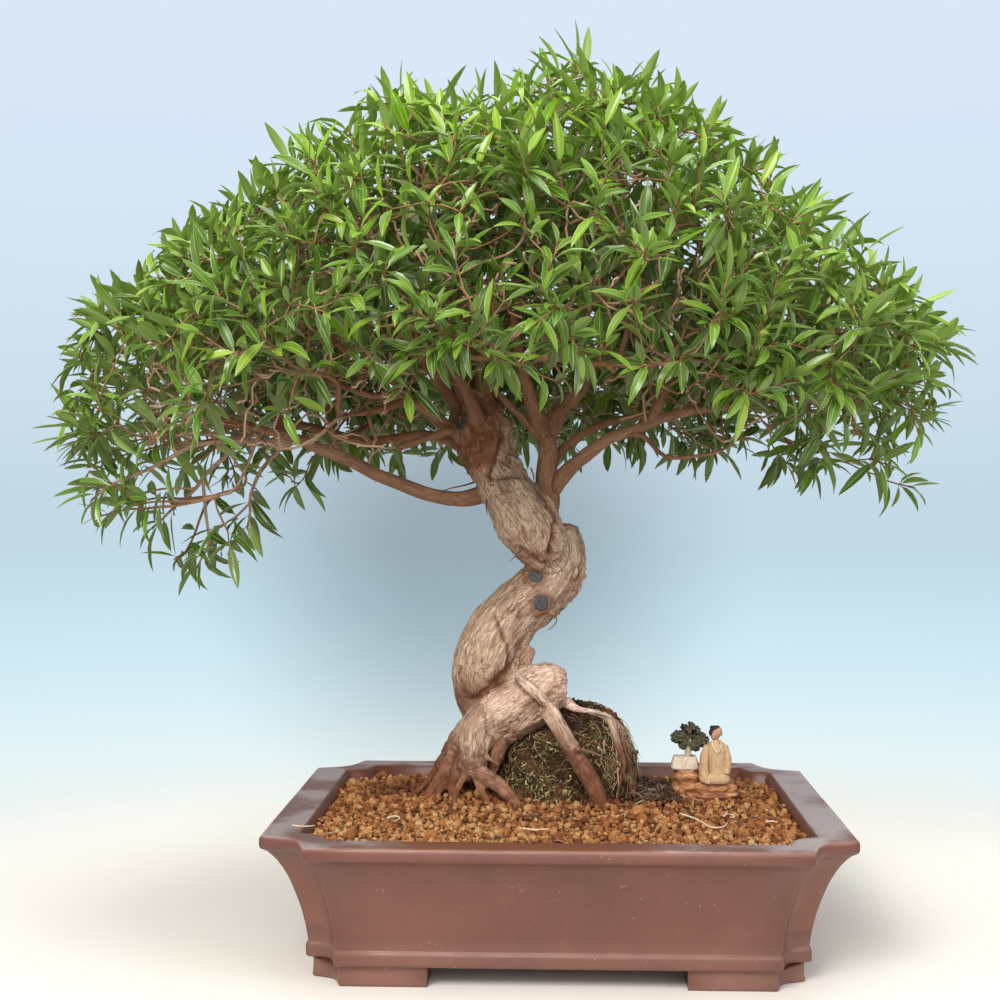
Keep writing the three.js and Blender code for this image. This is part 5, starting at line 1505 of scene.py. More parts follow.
class BONSAI_OT_limbs(bpy.types.Operator):
    """Limbs, boughs and the bare twigs inside the crown"""
    bl_idname = "bonsai.limbs"
    bl_label = "Build Limbs"

    def execute(self, context):
        skeleton, _, boughs = grow_boughs()
        shape = Shape()
        for k, limb in enumerate(LIMBS):
            points, radii = resample(limb, 6)
            radii = radii * (1 - 0.75 * np.linspace(0, 1, len(radii)) ** 14)
            tube(shape, points, radii, 14, tone=0.16 if k in (0, 3, 6) else 0.1, seed=k, wobble=0.06)
        for k, branch in enumerate(SIDE_BRANCHES):
            points, radii = resample(branch, 7)
            points = crooked(points, 1.6, 70 + k)
            tube(shape, points, radii, 9, tone=0.3 if k < 7 else 0.14, seed=70 + k, wobble=0.06)
            skeleton.add(points, radii, "limb", 2)
        for k, (points, radii) in enumerate(boughs):
            low_left = points[-1][2] < 450 and points[-1][0] < -150
            thin, tone = (0.5, 0.3) if low_left else (0.82, 0.08)
            tube(shape, crooked(points, 2.2, 100 + k), radii * thin, 9, tone=tone, seed=40 + k, wobble=0.06)
        shape.values["hollow"] = [(0, np.zeros(shape.count))]
        shape.show("limbs", [bark_finish()], "bark")
        bare = Shape()
        rng = np.random.RandomState(15)
        for k in range(TWIGS):
            if k < ALL_ROUND:
                theta, phi = rng.uniform(0, 2 * np.pi), math.acos(rng.uniform(-0.2, 1 if k % 3 else 0.35))
                target = HUB + (shell(theta, phi) - HUB) * rng.uniform(0.4, 0.9)
            elif k < LOW_LEFT:
                target = np.array([rng.uniform(-440, -150), rng.uniform(-110, 120), rng.uniform(446, 570)])
            elif k >= TOP:
                theta, phi = rng.uniform(-2.7, -0.4), math.acos(rng.uniform(0.02, 0.85))
                target = HUB + (shell(theta, phi) - HUB) * rng.uniform(0.78, 0.9)
            elif k < LOW_RIGHT:
                target = np.array([rng.uniform(90, 320), rng.uniform(-70, 150), rng.uniform(450, 570)])
            else:
                target = np.array([rng.uniform(-260, 190), rng.uniform(-170, 120), rng.uniform(540, 730)])
            way = unit(target - HUB)
            room = np.linalg.norm(shell(math.atan2(way[1], way[0]), math.acos(way[2])) - HUB)
            room = room * (0.84 if k < TOP else 0.9)
            target = HUB + way * min(room, np.linalg.norm(target - HUB))
            heading = unit(way + rng.uniform(-0.4, 0.4, 3) + [0, 0, 0.6 * (k >= LOW_RIGHT)])
            points, radii = skeleton.branch(target, heading, 0.85, "limb", 44, 13)
            pale = rng.uniform() < (0.62 if ALL_ROUND <= k < LOW_LEFT else 0.22)
            tone = rng.uniform(0.7, 1.0) if pale else rng.uniform(0.4, 0.7)
            tube(bare, crooked(points, 2.0, 300 + k), radii * 1.3, 4, tone=tone, seed=90 + k)
        bare.show("bare_twigs", [twig_finish()], "bark")
        return {"FINISHED"}


# Leaves

# Rows along a blade and columns across it: outer leaves, then those inside the crown
BLADE_GRIDS = [(np.array([0.0, 0.12, 0.26, 0.46, 0.7, 0.88, 1.0]), np.array([-1.0, -0.5, 0.0, 0.5, 1.0])),
    (np.array([0.0, 0.14, 0.36, 0.66, 1.0]), np.array([-1.0, 0.0, 1.0]))]


def blades(shape, grid, root, way, up, length, width, fold, bend, twist, tint, rng):
    """Folded, arched leaves: a stalk, then a lance blade with a drawn out tip."""
    n = len(root)
    t, k = BLADE_GRIDS[grid]
    tau = np.clip((t - 0.1) / 0.9, 0, 1)
    half = 3.2 * tau ** 0.74 * (1 - tau) ** 0.94
    half = np.maximum(half, np.where(t < 0.98, 0.07, 0.0))
    side = unit(np.cross(way, up))
    up = np.cross(side, way)
    arc = bend[:, None] * t[None] ** 1.2
    reach = length[:, None] * (t[None] - arc ** 2 * t[None] / 6)
    drop = -length[:, None] * arc * t[None] / 2
    spin = twist[:, None] * t[None]
    cs, sn = np.cos(spin)[..., None], np.sin(spin)[..., None]
    across = side[:, None] * cs + up[:, None] * sn
    above = up[:, None] * cs - side[:, None] * sn
    w = width[:, None] / 2 * half[None]
    ripple = 0.04 * np.sin(t[None] * rng.uniform(4, 8, (n, 1)) + rng.uniform(0, 6, (n, 1)))
    spine = root[:, None] + way[:, None] * reach[..., None] + up[:, None] * drop[..., None]
    lift = (np.abs(k)[None, None] ** 1.3 * fold[:, None, None] + ripple[..., None] * np.abs(k)) * w[..., None]
    spread = k[None, None] * w[..., None] * np.cos(fold)[:, None, None]
    points = spine[:, :, None] + across[:, :, None] * spread[..., None] + above[:, :, None] * lift[..., None]
    rows, cols = len(t), len(k)
    a, b = np.meshgrid(np.arange(rows - 1), np.arange(cols - 1), indexing="ij")
    first = a * cols + b
    quad = np.stack([first, first + 1, first + cols + 1, first + cols], -1).reshape(-1, 4)
    faces = (quad[None] + (np.arange(n) * rows * cols)[:, None, None]).reshape(-1, 4)
    blade = np.zeros((n, rows, cols, 3))
    blade[..., 0] = k
    blade[..., 1] = t[None, :, None]
    blade[..., 2] = rng.uniform(0, 1, (n, 1, 1))
    shape.add(points.reshape(-1, 3), faces, 1, blade=blade.reshape(-1, 3),
        tint=np.repeat(tint, rows * cols, axis=0))


# Where the branches show through the front of the crown: x, z, half widths, share of the twigs left out
OPEN_SPOTS = [(-246, 486, 172, 46, 0.92), (-390, 492, 60, 26, 0.6), (-333, 424, 92, 44, 0.85),
    (-45, 488, 100, 34, 0.93), (-110, 530, 90, 22, 0.5), (95, 478, 120, 33, 0.9), (275, 452, 85, 30, 0.7),
    (300, 520, 60, 30, 0.35), (-72, 590, 120, 46, 0.5), (68, 560, 90, 40, 0.45), (-10, 655, 120, 34, 0.3)]


# Steps round and down the crown that spread the twigs evenly: 1 / r and 1 / r squared, where r cubed is r + 1
STEP_ROUND, STEP_DOWN = 0.7548776662466927, 0.5698402909980532


class BONSAI_OT_foliage(bpy.types.Operator):
    """Leafy sprays on the ends of the boughs"""
    bl_idname = "bonsai.foliage"
    bl_label = "Build Foliage"

    def execute(self, context):
        sizes = context.scene.bonsai_sizes
        _, sprays, _ = grow_boughs()
        tips = [np.array(p, float) for p in OUTLINE_TIPS]
        rng = np.random.RandomState(7)
        i = 0
        while len(tips) < sizes.twig_tips + sizes.inner_tips:
            i += 1
            theta = 2 * math.pi * ((0.5 + i * STEP_ROUND) % 1)
            height = 1 - 1.46 * ((0.5 + i * STEP_DOWN) % 1)
            rho = math.sqrt(1 - height * height)
            if rng.uniform() > math.hypot(0.626 * rho * math.cos(theta), rho * math.sin(theta), 0.9 * height):
                continue
            spot = shell(theta, math.acos(height))
            deep = len(tips) >= sizes.twig_tips
            if deep and height < -0.05:
                continue
            depth = rng.uniform(0.5, 0.84) if deep else rng.choice([1.0, 0.93, 0.86], p=[0.62, 0.24, 0.14])
            spot = HUB + (spot - HUB) * depth + rng.uniform(-9, 9, 3)
            if not deep and noise.noise(Vector(spot * 0.024)) < -0.1 and rng.uniform() < 0.72:
                continue
            # The low skirt is airy, and the front opens where the branches show
            if spot[2] < 425 and rng.uniform() < (0.62 if spot[0] < -60 else 0.35):
                continue
            shut = 1.0
            for x, z, rx, rz, share in OPEN_SPOTS if spot[1] < 120 else ():
                shut = min(shut, 1 - share * math.exp(-((spot[0] - x) / rx) ** 4 - ((spot[2] - z) / rz) ** 4))
            if rng.uniform() > shut:
                continue
            tips.append(spot)
        centres = np.array([s["centre"] for s in sprays])
        owners = [int(np.argmin(np.linalg.norm(centres - tip, axis=1))) for tip in tips]
        materials = [twig_finish(), leaf_finish()]
        hanging = {}
        for k in (0, 1, 2, 3, 4, 5, 6, 10):
            end = np.array(SIDE_BRANCHES[k][-1][:3], float)
            hanging.setdefault(int(np.argmin(np.linalg.norm(centres - end, axis=1))), []).append(k)
        for k, spray in enumerate(sprays):
            spray["far"] = float(np.linalg.norm(spray["centre"] - HUB))
            mine = [(tip, j >= sizes.twig_tips) for j, tip in enumerate(tips) if owners[j] == k]
            mine.sort(key=lambda tip: np.linalg.norm(tip[0] - spray["base"]))
            shape = Shape()
            self.spray(shape, spray, mine, hanging.get(k, ()), sizes, 1000 + k)
            name = f"spray_{k + 1:02d}"
            show(f"leafy_{name}", shape.mesh(name), materials, "foliage", name)
        return {"FINISHED"}

    @staticmethod
    def spray(shape, spray, tips, hanging, sizes, seed):
        rng = np.random.RandomState(seed)
        skeleton = Skeleton()
        base, heading = spray["base"], spray["heading"]
        stem = np.array([base, base + heading * 8, base + heading * 16])
        skeleton.add(stem, np.array([2.4, 2.2, 2.0]), "spray")
        tube(shape, stem, [2.4, 2.2, 2.0], 8, tone=0.6, seed=seed)
        leaves = []

        def whorl(points, tip, count, stretch, deep, droop=0.0):
            """Leaves in a spiral round the last stretch of a twig, with a pointed bud at its end."""
            way = unit(points[-1] - points[-2])
            bud = points[-1] + way[None] * np.array([-0.6, 2.4, 7.0])[:, None]
            tube(shape, bud, [1.0, 1.2, 0.12], 4, tone=0.2, seed=len(leaves))
            high = np.clip((tip[2] - 420) / 380, 0, 1)
            share = np.linalg.norm(tip - HUB) / max(spray["far"], 1.0)
            painted_inner_shade = 1.0 if deep else np.clip((0.97 - share) * 3, 0, 1)
            small = 0.84 if tip[1] < 10 and abs(tip[0] + 50) < 190 and tip[2] < 670 else 1.0
            turn = rng.uniform(0, 6.28)
            reach = np.linalg.norm(points - points[-1], axis=1)
            for m in range(count):
                late = m / (count - 1)
                back = stretch * (1 - late) ** 1.3 + rng.uniform(-1, 1)
                at = int(np.argmin(abs(reach - max(back, 0))))
                axis = unit(points[min(at + 1, len(points) - 1)] - points[max(at - 1, 0)])
                side = unit(np.cross(axis, [0.1, 0.2, 1.0]))
                other = np.cross(axis, side)
                angle = turn + 2.4 * m + rng.uniform(-0.35, 0.35)
                spread = 1.36 - 0.85 * late ** 1.5 + rng.uniform(-0.2, 0.2)
                ray = axis * math.cos(spread) + (side * math.cos(angle)
                    + other * math.sin(angle)) * math.sin(spread)
                ray = unit(ray + [0, 0, 0.28 * high + 0.07 - droop])
                size = rng.uniform(0.7, 1.16) * (0.66 if m == count - 1 else 1.0) * small
                leaves.append((points[at] + axis * 0.2, ray, axis, size, high, m >= count - 2, painted_inner_shade, deep))

        for j, (tip, deep) in enumerate(tips):
            out = unit(outward(tip) + rng.uniform(-0.35, 0.35, 3))
            points, radii = skeleton.branch(tip, out, 0.75, "spray", 22, 10)
            points = crooked(points, 1.6, seed * 7 + j)
            n = len(points)
            start = shape.count
            tube(shape, points, radii, 4, tone=0.3, seed=seed + j)
            shape.values["tone"][-1] = (start, np.append(np.repeat(np.linspace(0.62, 0.2, n), 4), [0.6, 0.2]))
            whorl(points, tip, rng.randint(6, 9) if deep else rng.randint(6, 10), 26.0, deep)
        for k in hanging:
            line, _ = resample(SIDE_BRANCHES[k], 7)
            whorl(crooked(line, 1.6, 70 + k), line[-1], 9, 34.0, False, 0.3)
        if not leaves:
            return
        root, ray, axis, size, high, young, painted_inner_shade, deep = map(np.array, zip(*leaves))
        n = len(root)
        upward = unit([[0, 0, 1.0]] + rng.uniform(-0.5, 0.5, (n, 3)) + 0.75 * unit(root - HUB) + 0.1 * axis)
        length = sizes.leaf_length / MM * size
        # The leaf tone is painted light and shade: lighter high up and at both sides, most on the right,
        # which the lamps light less, and darker inside the crown; with a random spread
        left = np.clip((-200 - root[:, 0]) / 200, 0, 1) + 2.3 * np.clip((root[:, 0] - 150) / 130, 0, 1)
        tone = np.clip(0.36 + 0.36 * high + 0.14 * left + rng.normal(0, 0.2, n) - 0.32 * painted_inner_shade, 0.02, 1)
        youth = np.where(young, rng.uniform(0, 0.85, n) * (0.2 + 0.8 * high), 0)
        youth = youth + (rng.uniform(size=n) < 0.04) * 0.5
        tint = np.stack([tone, np.clip(youth, 0, 1), np.zeros(n)], -1)
        bend = rng.uniform(0.05, 0.75, n) + 0.8 * (rng.uniform(size=n) < 0.12)
        width = sizes.leaf_width / MM * rng.uniform(0.8, 1.14, n) * size ** 0.5 * np.where(deep, 1.35, 1.0)
        length = length * np.where(deep, 1.15, 1.0)
        fold, twist = rng.uniform(0.2, 0.6, n), rng.uniform(-0.6, 0.6, n)
        for grid, keep in ((0, ~deep.astype(bool)), (1, deep.astype(bool))):
            if keep.any():
                kept = [v[keep] for v in (root, ray, upward, length, width, fold, bend, twist, tint)]
                blades(shape, grid, *kept, rng)


# Mud figures


def turned(shape, profile, sides, centre, wide=1.0, deep=1.0, kind=0, folds=0.0, lean=(0, 0), **values):
    """Body turned from a profile of radius and height, with soft upright folds."""
    rings = []
    angle = turns(sides)
    for r, h in profile:
        wave = 1 + folds * np.sin(7 * angle + h * 0.12) * min(1, r / 8)
        wave = wave + folds * 0.6 * np.sin(11 * angle - h * 0.2)
        x = centre[0] + lean[0] * h + np.cos(angle) * r * wide * wave
        y = centre[1] + lean[1] * h + np.sin(angle) * r * deep * wave
        rings.append(np.stack([x, y, np.full(sides, centre[2] + h)], -1))
    loft(shape, rings, kind, **values)


def smooth_profile(profile, count):
    flat = np.column_stack([np.array(profile, float), np.zeros(len(profile))])
    return [tuple(q) for q in catmull(flat, np.linspace(0, 1, count))[:, :2]]


class BONSAI_OT_figures(bpy.types.Operator):
    """Small mud group: rock, seated figure and tiny potted tree"""
    bl_idname = "bonsai.figures"
    bl_label = "Build Mud Figures"

    def execute(self, context):
        self.rock()
        self.person()
        self.tiny_tree()
        return {"FINISHED"}

    @staticmethod
    def rock():
        shape = Shape()
        u = turns(56)
        for x, y, rx, ry, top in ((124, 50, 14, 13.6, 142.6), (150, 48, 22.5, 16.6, 130.8)):
            rings = []
            for t in np.linspace(0, 1, 30):
                r = (1 - max(0, (t - 0.82) / 0.18) ** 2 * 0.16) * (0.9 + 0.1 * math.sin(t * 2.6))
                r = r * (1 - 0.05 * (1 + math.sin(t * 24 + x)))
                z = 106 + (top - 106) * min(1.0, t / 0.97)
                ring = np.stack([x + rx * r * np.cos(u), y + ry * r * np.sin(u), np.full(len(u), z)], -1)
                shift = rough_noise(ring, 0.13, 0.6, 2.0, 4)
                rings.append(ring + unit(ring - [x, y, z]) * (2.0 * shift)[:, None])
            loft(shape, rings)
        shape.show("mud_rock", [rock_finish()], "rock", "figure_rock")

    @staticmethod
    def person():
        shape = Shape()
        robe = smooth_profile([(12.0, 0), (12.6, 3), (11.8, 10), (11.6, 18), (11.9, 26), (11.4, 31),
            (8.8, 35.4), (5, 38), (3.1, 39.4)], 34)
        turned(shape, robe, 56, (152.5, 49, 131.1), 1, 0.86, 0, 0.045)
        knees = smooth_profile([(12, 0), (13.2, 3), (11.5, 6.5), (7, 9), (1, 9.8)], 14)
        turned(shape, knees, 48, (151, 39, 131.1), 1.05, 0.62, 0, 0.03)
        # Arms in wide sleeves, then the two edges of the collar
        swept(shape, [(143.8, 47, 165, 3.2), (140.6, 42, 155, 4.2), (139.6, 38, 144, 4.7),
            (140, 36.5, 136, 4.8), (140.8, 36.5, 132.4, 4.0)], 1.2, 20, 0, wobble=0.05)
        swept(shape, [(160.4, 49, 165, 3.2), (162.6, 46, 155, 4.0), (162.8, 44, 146, 4.0),
            (161, 41, 139, 3.4)], 1.2, 20, 0, wobble=0.05)
        swept(shape, [(148.4, 46, 170.5, 1.1), (148.2, 41.8, 167.5, 1.4), (150.2, 39.6, 163, 1.4),
            (153, 38.6, 158.6, 0.9)], 1, 10, 1)
        swept(shape, [(156.6, 46, 170.5, 0.9), (156.8, 41.8, 167.5, 1.0), (155.4, 39.8, 163.5, 1.0),
            (153.6, 38.8, 160, 0.8)], 1, 10, 1)
        # Head: a plain egg with a small nose, chin and ears; one hand rests on the rock
        u = turns(40)
        rings = []
        egg = [(1.2, 0.2), (3.8, 1.2), (5.4, 3.4), (6.1, 6.6), (6.0, 9), (4.9, 11.6), (2.6, 13.3),
            (0.4, 13.8)]
        for r, h in smooth_profile(egg, 26):
            ring = np.stack([151.4 + 0.16 * h + 0.86 * r * np.cos(u), 48.5 + 0.9 * r * np.sin(u),
                170.8 + 0.9 * h + 0.12 * r * np.cos(u)], -1)
            front = np.clip(-np.sin(u), 0, 1)
            nose = hump(h - 6.4, 1.5) * hump(np.cos(u), 0.16) * (front > 0)
            eyes = hump(h - 7.9, 0.9) * (hump(np.cos(u) - 0.36, 0.16) + hump(np.cos(u) + 0.36, 0.16)) * front
            lips = hump(h - 3.9, 0.5) * hump(np.cos(u), 0.26) * front
            ring[:, 1] -= 1.15 * nose - 0.45 * eyes + 0.35 * lips
            rings.append(ring)
        loft(shape, rings, 2)
        swept(shape, [(152, 49, 167, 3.2), (152, 48.8, 172.6, 2.7)], 1.5, 16, 2)
        for x in (147.2, 157.6):
            swept(shape, [(x, 49, 174.8, 0.6), (x, 48.6, 176.6, 1.0), (x, 49, 178.6, 0.6)], 0.8, 8, 2)
        hand = [(140.6, 34.6, 133.6, 2.0), (142.4, 31.6, 132.8, 2.2), (145, 30.6, 132.6, 1.6)]
        swept(shape, hand, 1, 14, 2)
        # Hair over the back of the head with a small knot
        rings = []
        hair = [(5.6, 4.4), (6.7, 6.5), (6.7, 9), (5.5, 12), (3.2, 14.1), (0.4, 14.7)]
        for r, h in smooth_profile(hair, 16):
            ring = np.stack([150.4 + 0.16 * h + 0.88 * r * np.cos(u), 49.6 + 0.94 * r * np.sin(u),
                np.full(40, 170.8 + 0.92 * h)], -1)
            ring[:, 1] = np.maximum(ring[:, 1], 46.8 - max(0, h - 9) * 0.9 - 2.6 * np.clip(-np.cos(u), 0, 1))
            rings.append(ring)
        loft(shape, rings, 3)
        knot = smooth_profile([(0.6, 0), (2.2, 0.5), (2.4, 1.8), (1.5, 3.0), (0.2, 3.4)], 10)
        turned(shape, knot, 18, (149.4, 54.4, 180.2), 1, 1, 3)
        paints = [mud_finish("Mud Robe", (0.58, 0.415, 0.24), (0.47, 0.265, 0.135)),
            mud_finish("Mud Collar", (0.72, 0.58, 0.42), (0.55, 0.4, 0.27)),
            mud_finish("Mud Skin", (0.62, 0.36, 0.24), (0.42, 0.21, 0.13)),
            mud_finish("Mud Hair", (0.045, 0.03, 0.025), (0.015, 0.01, 0.01))]
        shape.show("mud_person", paints, "mud_figure", "figure_man")

    @staticmethod
    def tiny_tree():
        shape = Shape()
        # Planter: a box with rounded corners
        around = turns(40)
        c, d = np.cos(around), np.sin(around)
        x, y = np.sign(c) * abs(c) ** 0.4, 0.74 * np.sign(d) * abs(d) ** 0.4
        steps = [(12.6, 0), (13.3, 0.8), (13.5, 2.6), (12.2, 7.4), (11.2, 10.8), (10.6, 12), (9.4, 12),
            (9.0, 11.2), (5, 11.8), (1, 12.8)]
        loft(shape, [np.stack([122.6 + r * x, 50 + r * y, np.full(40, 142.8 + h)], -1) for r, h in steps])
        swept(shape, [(125.4, 50, 152, 3.6), (125.8, 50, 158, 3.1), (126.6, 51, 166, 3.0),
            (127, 51, 174, 2.2)], 1.4, 14, 1, wobble=0.08)
        # Clumps of leaves: x, y, z, radius
        rng = np.random.RandomState(12)
        clumps = []
        for x, y, z, r in ((117.5, 51, 173, 7.4), (137.5, 52, 170.5, 7.6), (128, 52, 178.5, 9.4),
                (122.5, 51, 166.5, 5.4), (132.5, 51, 165.5, 6.2)):
            ray = unit(rng.normal(size=(90, 3)))
            far = rng.uniform(0.62, 1.04, (90, 1))
            clumps.append(np.array([x, y, z]) + ray * [r, r * 0.85, r * 0.78] * far)
        spots = np.concatenate(clumps)
        shape.add(*lumps(spots, rng.uniform(2.6, 5.6, (len(spots), 3)), rng, 0.35), 2)
        paints = [mud_finish("Mud Planter", (0.70, 0.61, 0.49), (0.54, 0.42, 0.30)),
            mud_finish("Mud Stem", (0.50, 0.45, 0.34), (0.26, 0.21, 0.14)),
            mud_finish("Mud Leaves", (0.125, 0.112, 0.062), (0.022, 0.024, 0.018))]
        shape.show("mud_tree", paints, "mud_green", "figure_tree")


class BONSAI_OT_litter(bpy.types.Operator):
    """Bits of root and bark that lie on the soil and on the rim"""
    bl_idname = "bonsai.litter"
    bl_label = "Build Litter"

    def execute(self, context):
        shape = Shape()
        rng = np.random.RandomState(30)
        for k in range(46):
            x0, x1, y0, y1 = (70, 135, 10, 120) if k < 22 else (-205, 205, -155, 150)
            x, y = rng.uniform(x0, x1), rng.uniform(y0, y1)
            z = soil_height(x, y) + 2.8
            if in_ball(x, y, z, 3):
                continue
            length = rng.uniform(5, 20)
            turn = rng.uniform(0, 6.28)
            t = np.linspace(-0.5, 0.5, 9)
            curl = rng.uniform(-2.2, 2.2)
            path = np.stack([x + length * t * math.cos(turn) - length * curl * t ** 2 * math.sin(turn),
                y + length * t * math.sin(turn) + length * curl * t ** 2 * math.cos(turn),
                z + 1.2 * np.cos(t * 5)], -1)
            if inside_outline(opening(5, 0), path[:, 0], path[:, 1]).all():
                tube(shape, path, rng.uniform(0.3, 0.8), 5, tone=rng.uniform(0, 0.55), seed=k)
        curls = [[(111, -36), (123, -53), (129, -69), (135, -86), (144, -84), (151, -65)],
            [(150, -42), (153, -36), (158, -38), (159, -44), (155, -47)],
            [(185, -62), (190, -59), (195, -62)], [(-152, -60), (-146, -52), (-141, -60), (-144, -72)],
            [(-30, -96), (-18, -101), (-8, -97)]]
        for k, line in enumerate(curls):
            z = np.array([soil_height(x, y) for x, y in line]) + 3.6
            path = catmull(np.column_stack([np.array(line, float), z]), np.linspace(0, 1, 24))
            tube(shape, path, np.linspace(0.95, 0.5, 24), 6, tone=0.95, seed=k)
        z = soil_height(np.array([-23.0]), np.array([-56.0]))[0] + 5.2
        tube(shape, np.array([[-34, -56, z - 0.6], [-23, -56.6, z], [-13, -56, z + 0.3]], float),
            [0.8, 0.95, 0.7], 6, tone=0.06)
        rim = catmull([(-228, -118, 122.9), (-222, -122, 123.2), (-214, -122, 123.0), (-208, -118, 122.9)],
            np.linspace(0, 1, 12))
        tube(shape, rim, np.linspace(0.7, 0.4, 12), 6, tone=0.9)
        for k in range(70):
            x, y = rng.normal(88, 12), rng.uniform(14, 100)
            if in_ball(x, y, SOIL_LEVEL, -6):
                continue
            turn, length = rng.uniform(0, 6.28), rng.uniform(8, 22)
            t = np.linspace(-0.5, 0.5, 8)
            curl = rng.uniform(-2.6, 2.6)
            path = np.stack([x + length * t * math.cos(turn) - length * curl * t ** 2 * math.sin(turn),
                y + length * t * math.sin(turn),
                soil_height(x, y) + 3 + rng.uniform(1, 7) * (0.25 - t ** 2) * 4], -1)
            tube(shape, crooked(path, 1.6, k), rng.uniform(0.3, 0.9), 5, tone=0.5 * rng.beta(1, 5), seed=k)
        spots = np.column_stack([rng.normal(89, 13, 420), rng.uniform(8, 110, 420), np.zeros(420)])
        spots[:, 2] = soil_height(spots[:, 0], spots[:, 1]) + rng.uniform(1.5, 5.5, 420)
        spots = spots[~in_ball(spots[:, 0], spots[:, 1], spots[:, 2], -8) & (spots[:, 0] < 118)]
        shape.add(*lumps(spots, rng.uniform(2.2, 5.6, (len(spots), 3)), rng, 0.35), 1)
        bits = strand_finish("Litter", (0.045, 0.018, 0.01), (0.80, 0.64, 0.47))
        shape.show("litter", [bits, peat_finish()], "clay_grains")
        return {"FINISHED"}


# Stage

# Each lamp: place from the pot's middle in metres, size, power, colour; all aim at the middle of the tree
LAMPS = [("key", (-0.9, -2.0, 1.9), 1.1, 66, (1.0, 0.97, 0.92)),
    ("top", (0.1, 0.0, 2.5), 1.5, 32, (1.0, 0.99, 0.95)),
    ("front", (0.1, -2.4, 0.9), 1.6, 17.5, (1.0, 0.965, 0.92)),
    ("side", (1.8, -1.4, 1.3), 1.4, 18, (0.98, 0.99, 1.0))]
LAMP_AIM = (-0.03, 0.03, 0.45)
# Camera: sensor and lens in millimetres, place in metres, and how many degrees it looks down and to the left
SENSOR, LENS = 36, 54
EYE = (0, -1.397, 0.4154)
EYE_DOWN, EYE_LEFT = 0.573, 2.19
# The wall behind, by height in the view, and the soft light that the object gets from all round
WALL = [
    (0.077, (0.92, 0.87, 0.785)), (0.119, (0.913, 0.879, 0.83)), (0.162, (0.90, 0.888, 0.855)),
    (0.206, (0.863, 0.913, 0.896)), (0.251, (0.791, 0.913, 0.93)), (0.297, (0.708, 0.871, 0.939)),
    (0.344, (0.638, 0.823, 0.913)), (0.391, (0.578, 0.761, 0.863)), (0.438, (0.546, 0.708, 0.799)),
    (0.486, (0.552, 0.694, 0.791)), (0.581, (0.61, 0.738, 0.847)), (0.766, (0.672, 0.791, 0.921)),
    (0.9, (0.708, 0.807, 0.947)),
]
SOFT_LIGHT = [(0.2, (0.34, 0.32, 0.29)), (0.5, (0.58, 0.58, 0.58)), (0.75, (0.72, 0.74, 0.77)),
    (1.0, (1.1, 1.1, 1.08))]


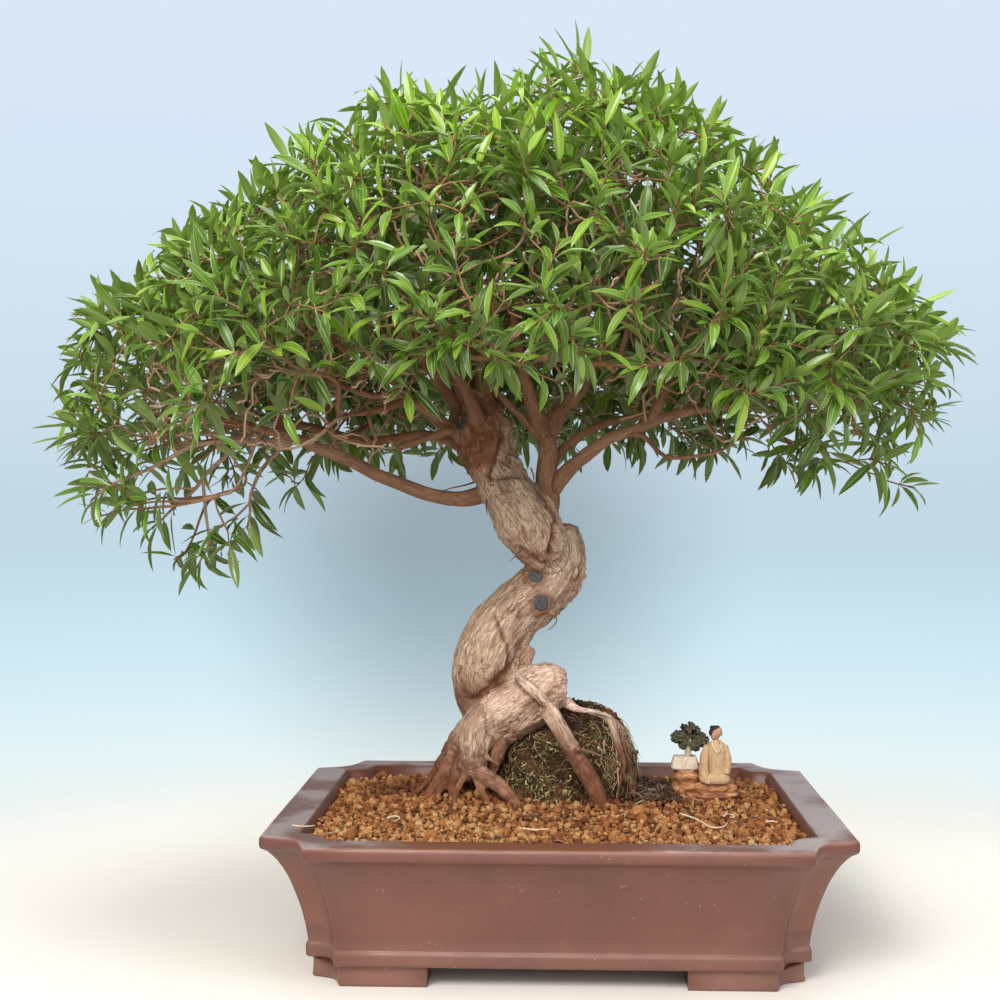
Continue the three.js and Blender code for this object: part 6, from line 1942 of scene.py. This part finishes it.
class BONSAI_OT_stage(bpy.types.Operator):
    """Pale floor, soft light and the camera"""
    bl_idname = "bonsai.stage"
    bl_label = "Build Stage"

    def execute(self, context):
        context.scene.view_settings.view_transform = "Standard"
        self.floor(context.scene)
        self.sky(context.scene)
        self.lamps_and_camera(context.scene)
        return {"FINISHED"}

    @staticmethod
    def floor(scene):
        """A wide disc that melts into the background."""
        shape = Shape()
        angle = turns(96)
        rings = [np.stack([r * np.cos(angle), r * np.sin(angle), np.full(96, -4.02)], -1)
            for r in (1500, 900, 500, 200)]
        loft(shape, rings, close=(False, True))
        floor = bpy.data.objects.new("floor", shape.mesh("floor"))
        scene.collection.objects.link(floor)

        def build(tree):
            where = put(tree, "ShaderNodeVectorMath", {0: place(tree), 1: tuple(HERE)}, operation="SUBTRACT")
            far = put(tree, "ShaderNodeVectorMath", {0: where.outputs[0]},
                operation="LENGTH").outputs["Value"]
            fade = span(tree, far, 0.35, 1.0, soft=True)
            clear = put(tree, "ShaderNodeBsdfTransparent")
            both = put(tree, "ShaderNodeMixShader", {0: fade, 1: tree.nodes["Principled BSDF"].outputs[0],
                2: clear.outputs[0]})
            tree.links.new(both.outputs[0], tree.nodes["Material Output"].inputs[0])
            return {"Base Color": mix(tree, noise_of(tree, place(tree), 3.0), (0.83, 0.80, 0.74),
                (0.81, 0.78, 0.73))}

        floor.data.materials.append(finish("Pale Floor", build, Roughness=0.9))

    @staticmethod
    def sky(scene):
        """The wall as the camera sees it, with a painted soft shadow of the crown on it, and plain soft light
        for everything else.
        """
        world = bpy.data.worlds.new("Pale Sky")
        world.use_nodes = True
        scene.world = world
        tree = world.node_tree
        way = put(tree, "ShaderNodeTexCoord").outputs["Generated"]
        up = parts(tree, way)["Z"]
        seen = ramp(tree, calc(tree, "MULTIPLY_ADD", up, 1.43, 0.5), WALL)
        # Painted shadow: the wall is darker in a soft spot behind the crown
        crown_shadow_distance = put(tree, "ShaderNodeVectorMath", {0: way, 1: (-0.058, 0.997, -0.05)},
            operation="DISTANCE").outputs["Value"]
        painted_crown_shadow = span(tree, crown_shadow_distance, 0.03, 0.2, 0.58, 1.0, soft=True)
        seen = shaded(tree, seen, painted_crown_shadow)
        glow = ramp(tree, calc(tree, "MULTIPLY_ADD", up, 0.5, 0.5), SOFT_LIGHT)
        backdrop = tree.nodes["Background"]
        tree.links.new(seen, backdrop.inputs[0])
        soft = put(tree, "ShaderNodeBackground", {0: glow, 1: 0.6})
        looking = put(tree, "ShaderNodeLightPath").outputs["Is Camera Ray"]
        either = put(tree, "ShaderNodeMixShader", {0: looking, 1: soft.outputs[0], 2: backdrop.outputs[0]})
        tree.links.new(either.outputs[0], tree.nodes["World Output"].inputs[0])

    @staticmethod
    def lamps_and_camera(scene):
        for name, spot, size, power, colour in LAMPS:
            light = bpy.data.lights.new(name, "AREA")
            light.energy, light.size, light.color = power, size, colour
            lamp = bpy.data.objects.new(name, light)
            lamp.location = Vector(spot) + Vector(HERE)
            aim = Vector(HERE) + Vector(LAMP_AIM) - lamp.location
            lamp.rotation_euler = aim.to_track_quat("-Z", "Y").to_euler()
            scene.collection.objects.link(lamp)
        camera = bpy.data.cameras.new("camera")
        camera.sensor_width, camera.lens = SENSOR, LENS
        eye = bpy.data.objects.new("camera", camera)
        eye.location = Vector(HERE) + Vector(EYE)
        eye.rotation_euler = (math.radians(90 - EYE_DOWN), 0, math.radians(EYE_LEFT))
        scene.collection.objects.link(eye)
        scene.camera = eye


class BONSAI_PT_panel(bpy.types.Panel):
    """Bonsai building tools"""
    bl_idname = "BONSAI_PT_panel"
    bl_label = "Fig Bonsai"
    bl_space_type = "VIEW_3D"
    bl_region_type = "UI"
    bl_category = "Bonsai"

    def draw(self, context):
        column = self.layout.column()
        for group in (context.scene.bonsai_sizes, context.scene.bonsai_colours):
            for key in group.bl_rna.properties.keys():
                if key not in ("rna_type", "name"):
                    column.prop(group, key)
        for step in STEPS:
            column.operator(step.bl_idname)


STEPS = (BONSAI_OT_pot, BONSAI_OT_soil, BONSAI_OT_ball, BONSAI_OT_trunk, BONSAI_OT_limbs, BONSAI_OT_foliage,
    BONSAI_OT_figures, BONSAI_OT_litter, BONSAI_OT_stage)
CLASSES = (BonsaiSizes, BonsaiColours, *STEPS, BONSAI_PT_panel)


def register():
    for cls in CLASSES:
        bpy.utils.register_class(cls)
    bpy.types.Scene.bonsai_sizes = bpy.props.PointerProperty(type=BonsaiSizes)
    bpy.types.Scene.bonsai_colours = bpy.props.PointerProperty(type=BonsaiColours)


def unregister():
    del bpy.types.Scene.bonsai_sizes
    del bpy.types.Scene.bonsai_colours
    for cls in reversed(CLASSES):
        bpy.utils.unregister_class(cls)


def main():
    register()
    for step in STEPS:
        group, action = step.bl_idname.split(".")
        getattr(getattr(bpy.ops, group), action)()


if __name__ == "__main__":
    main()
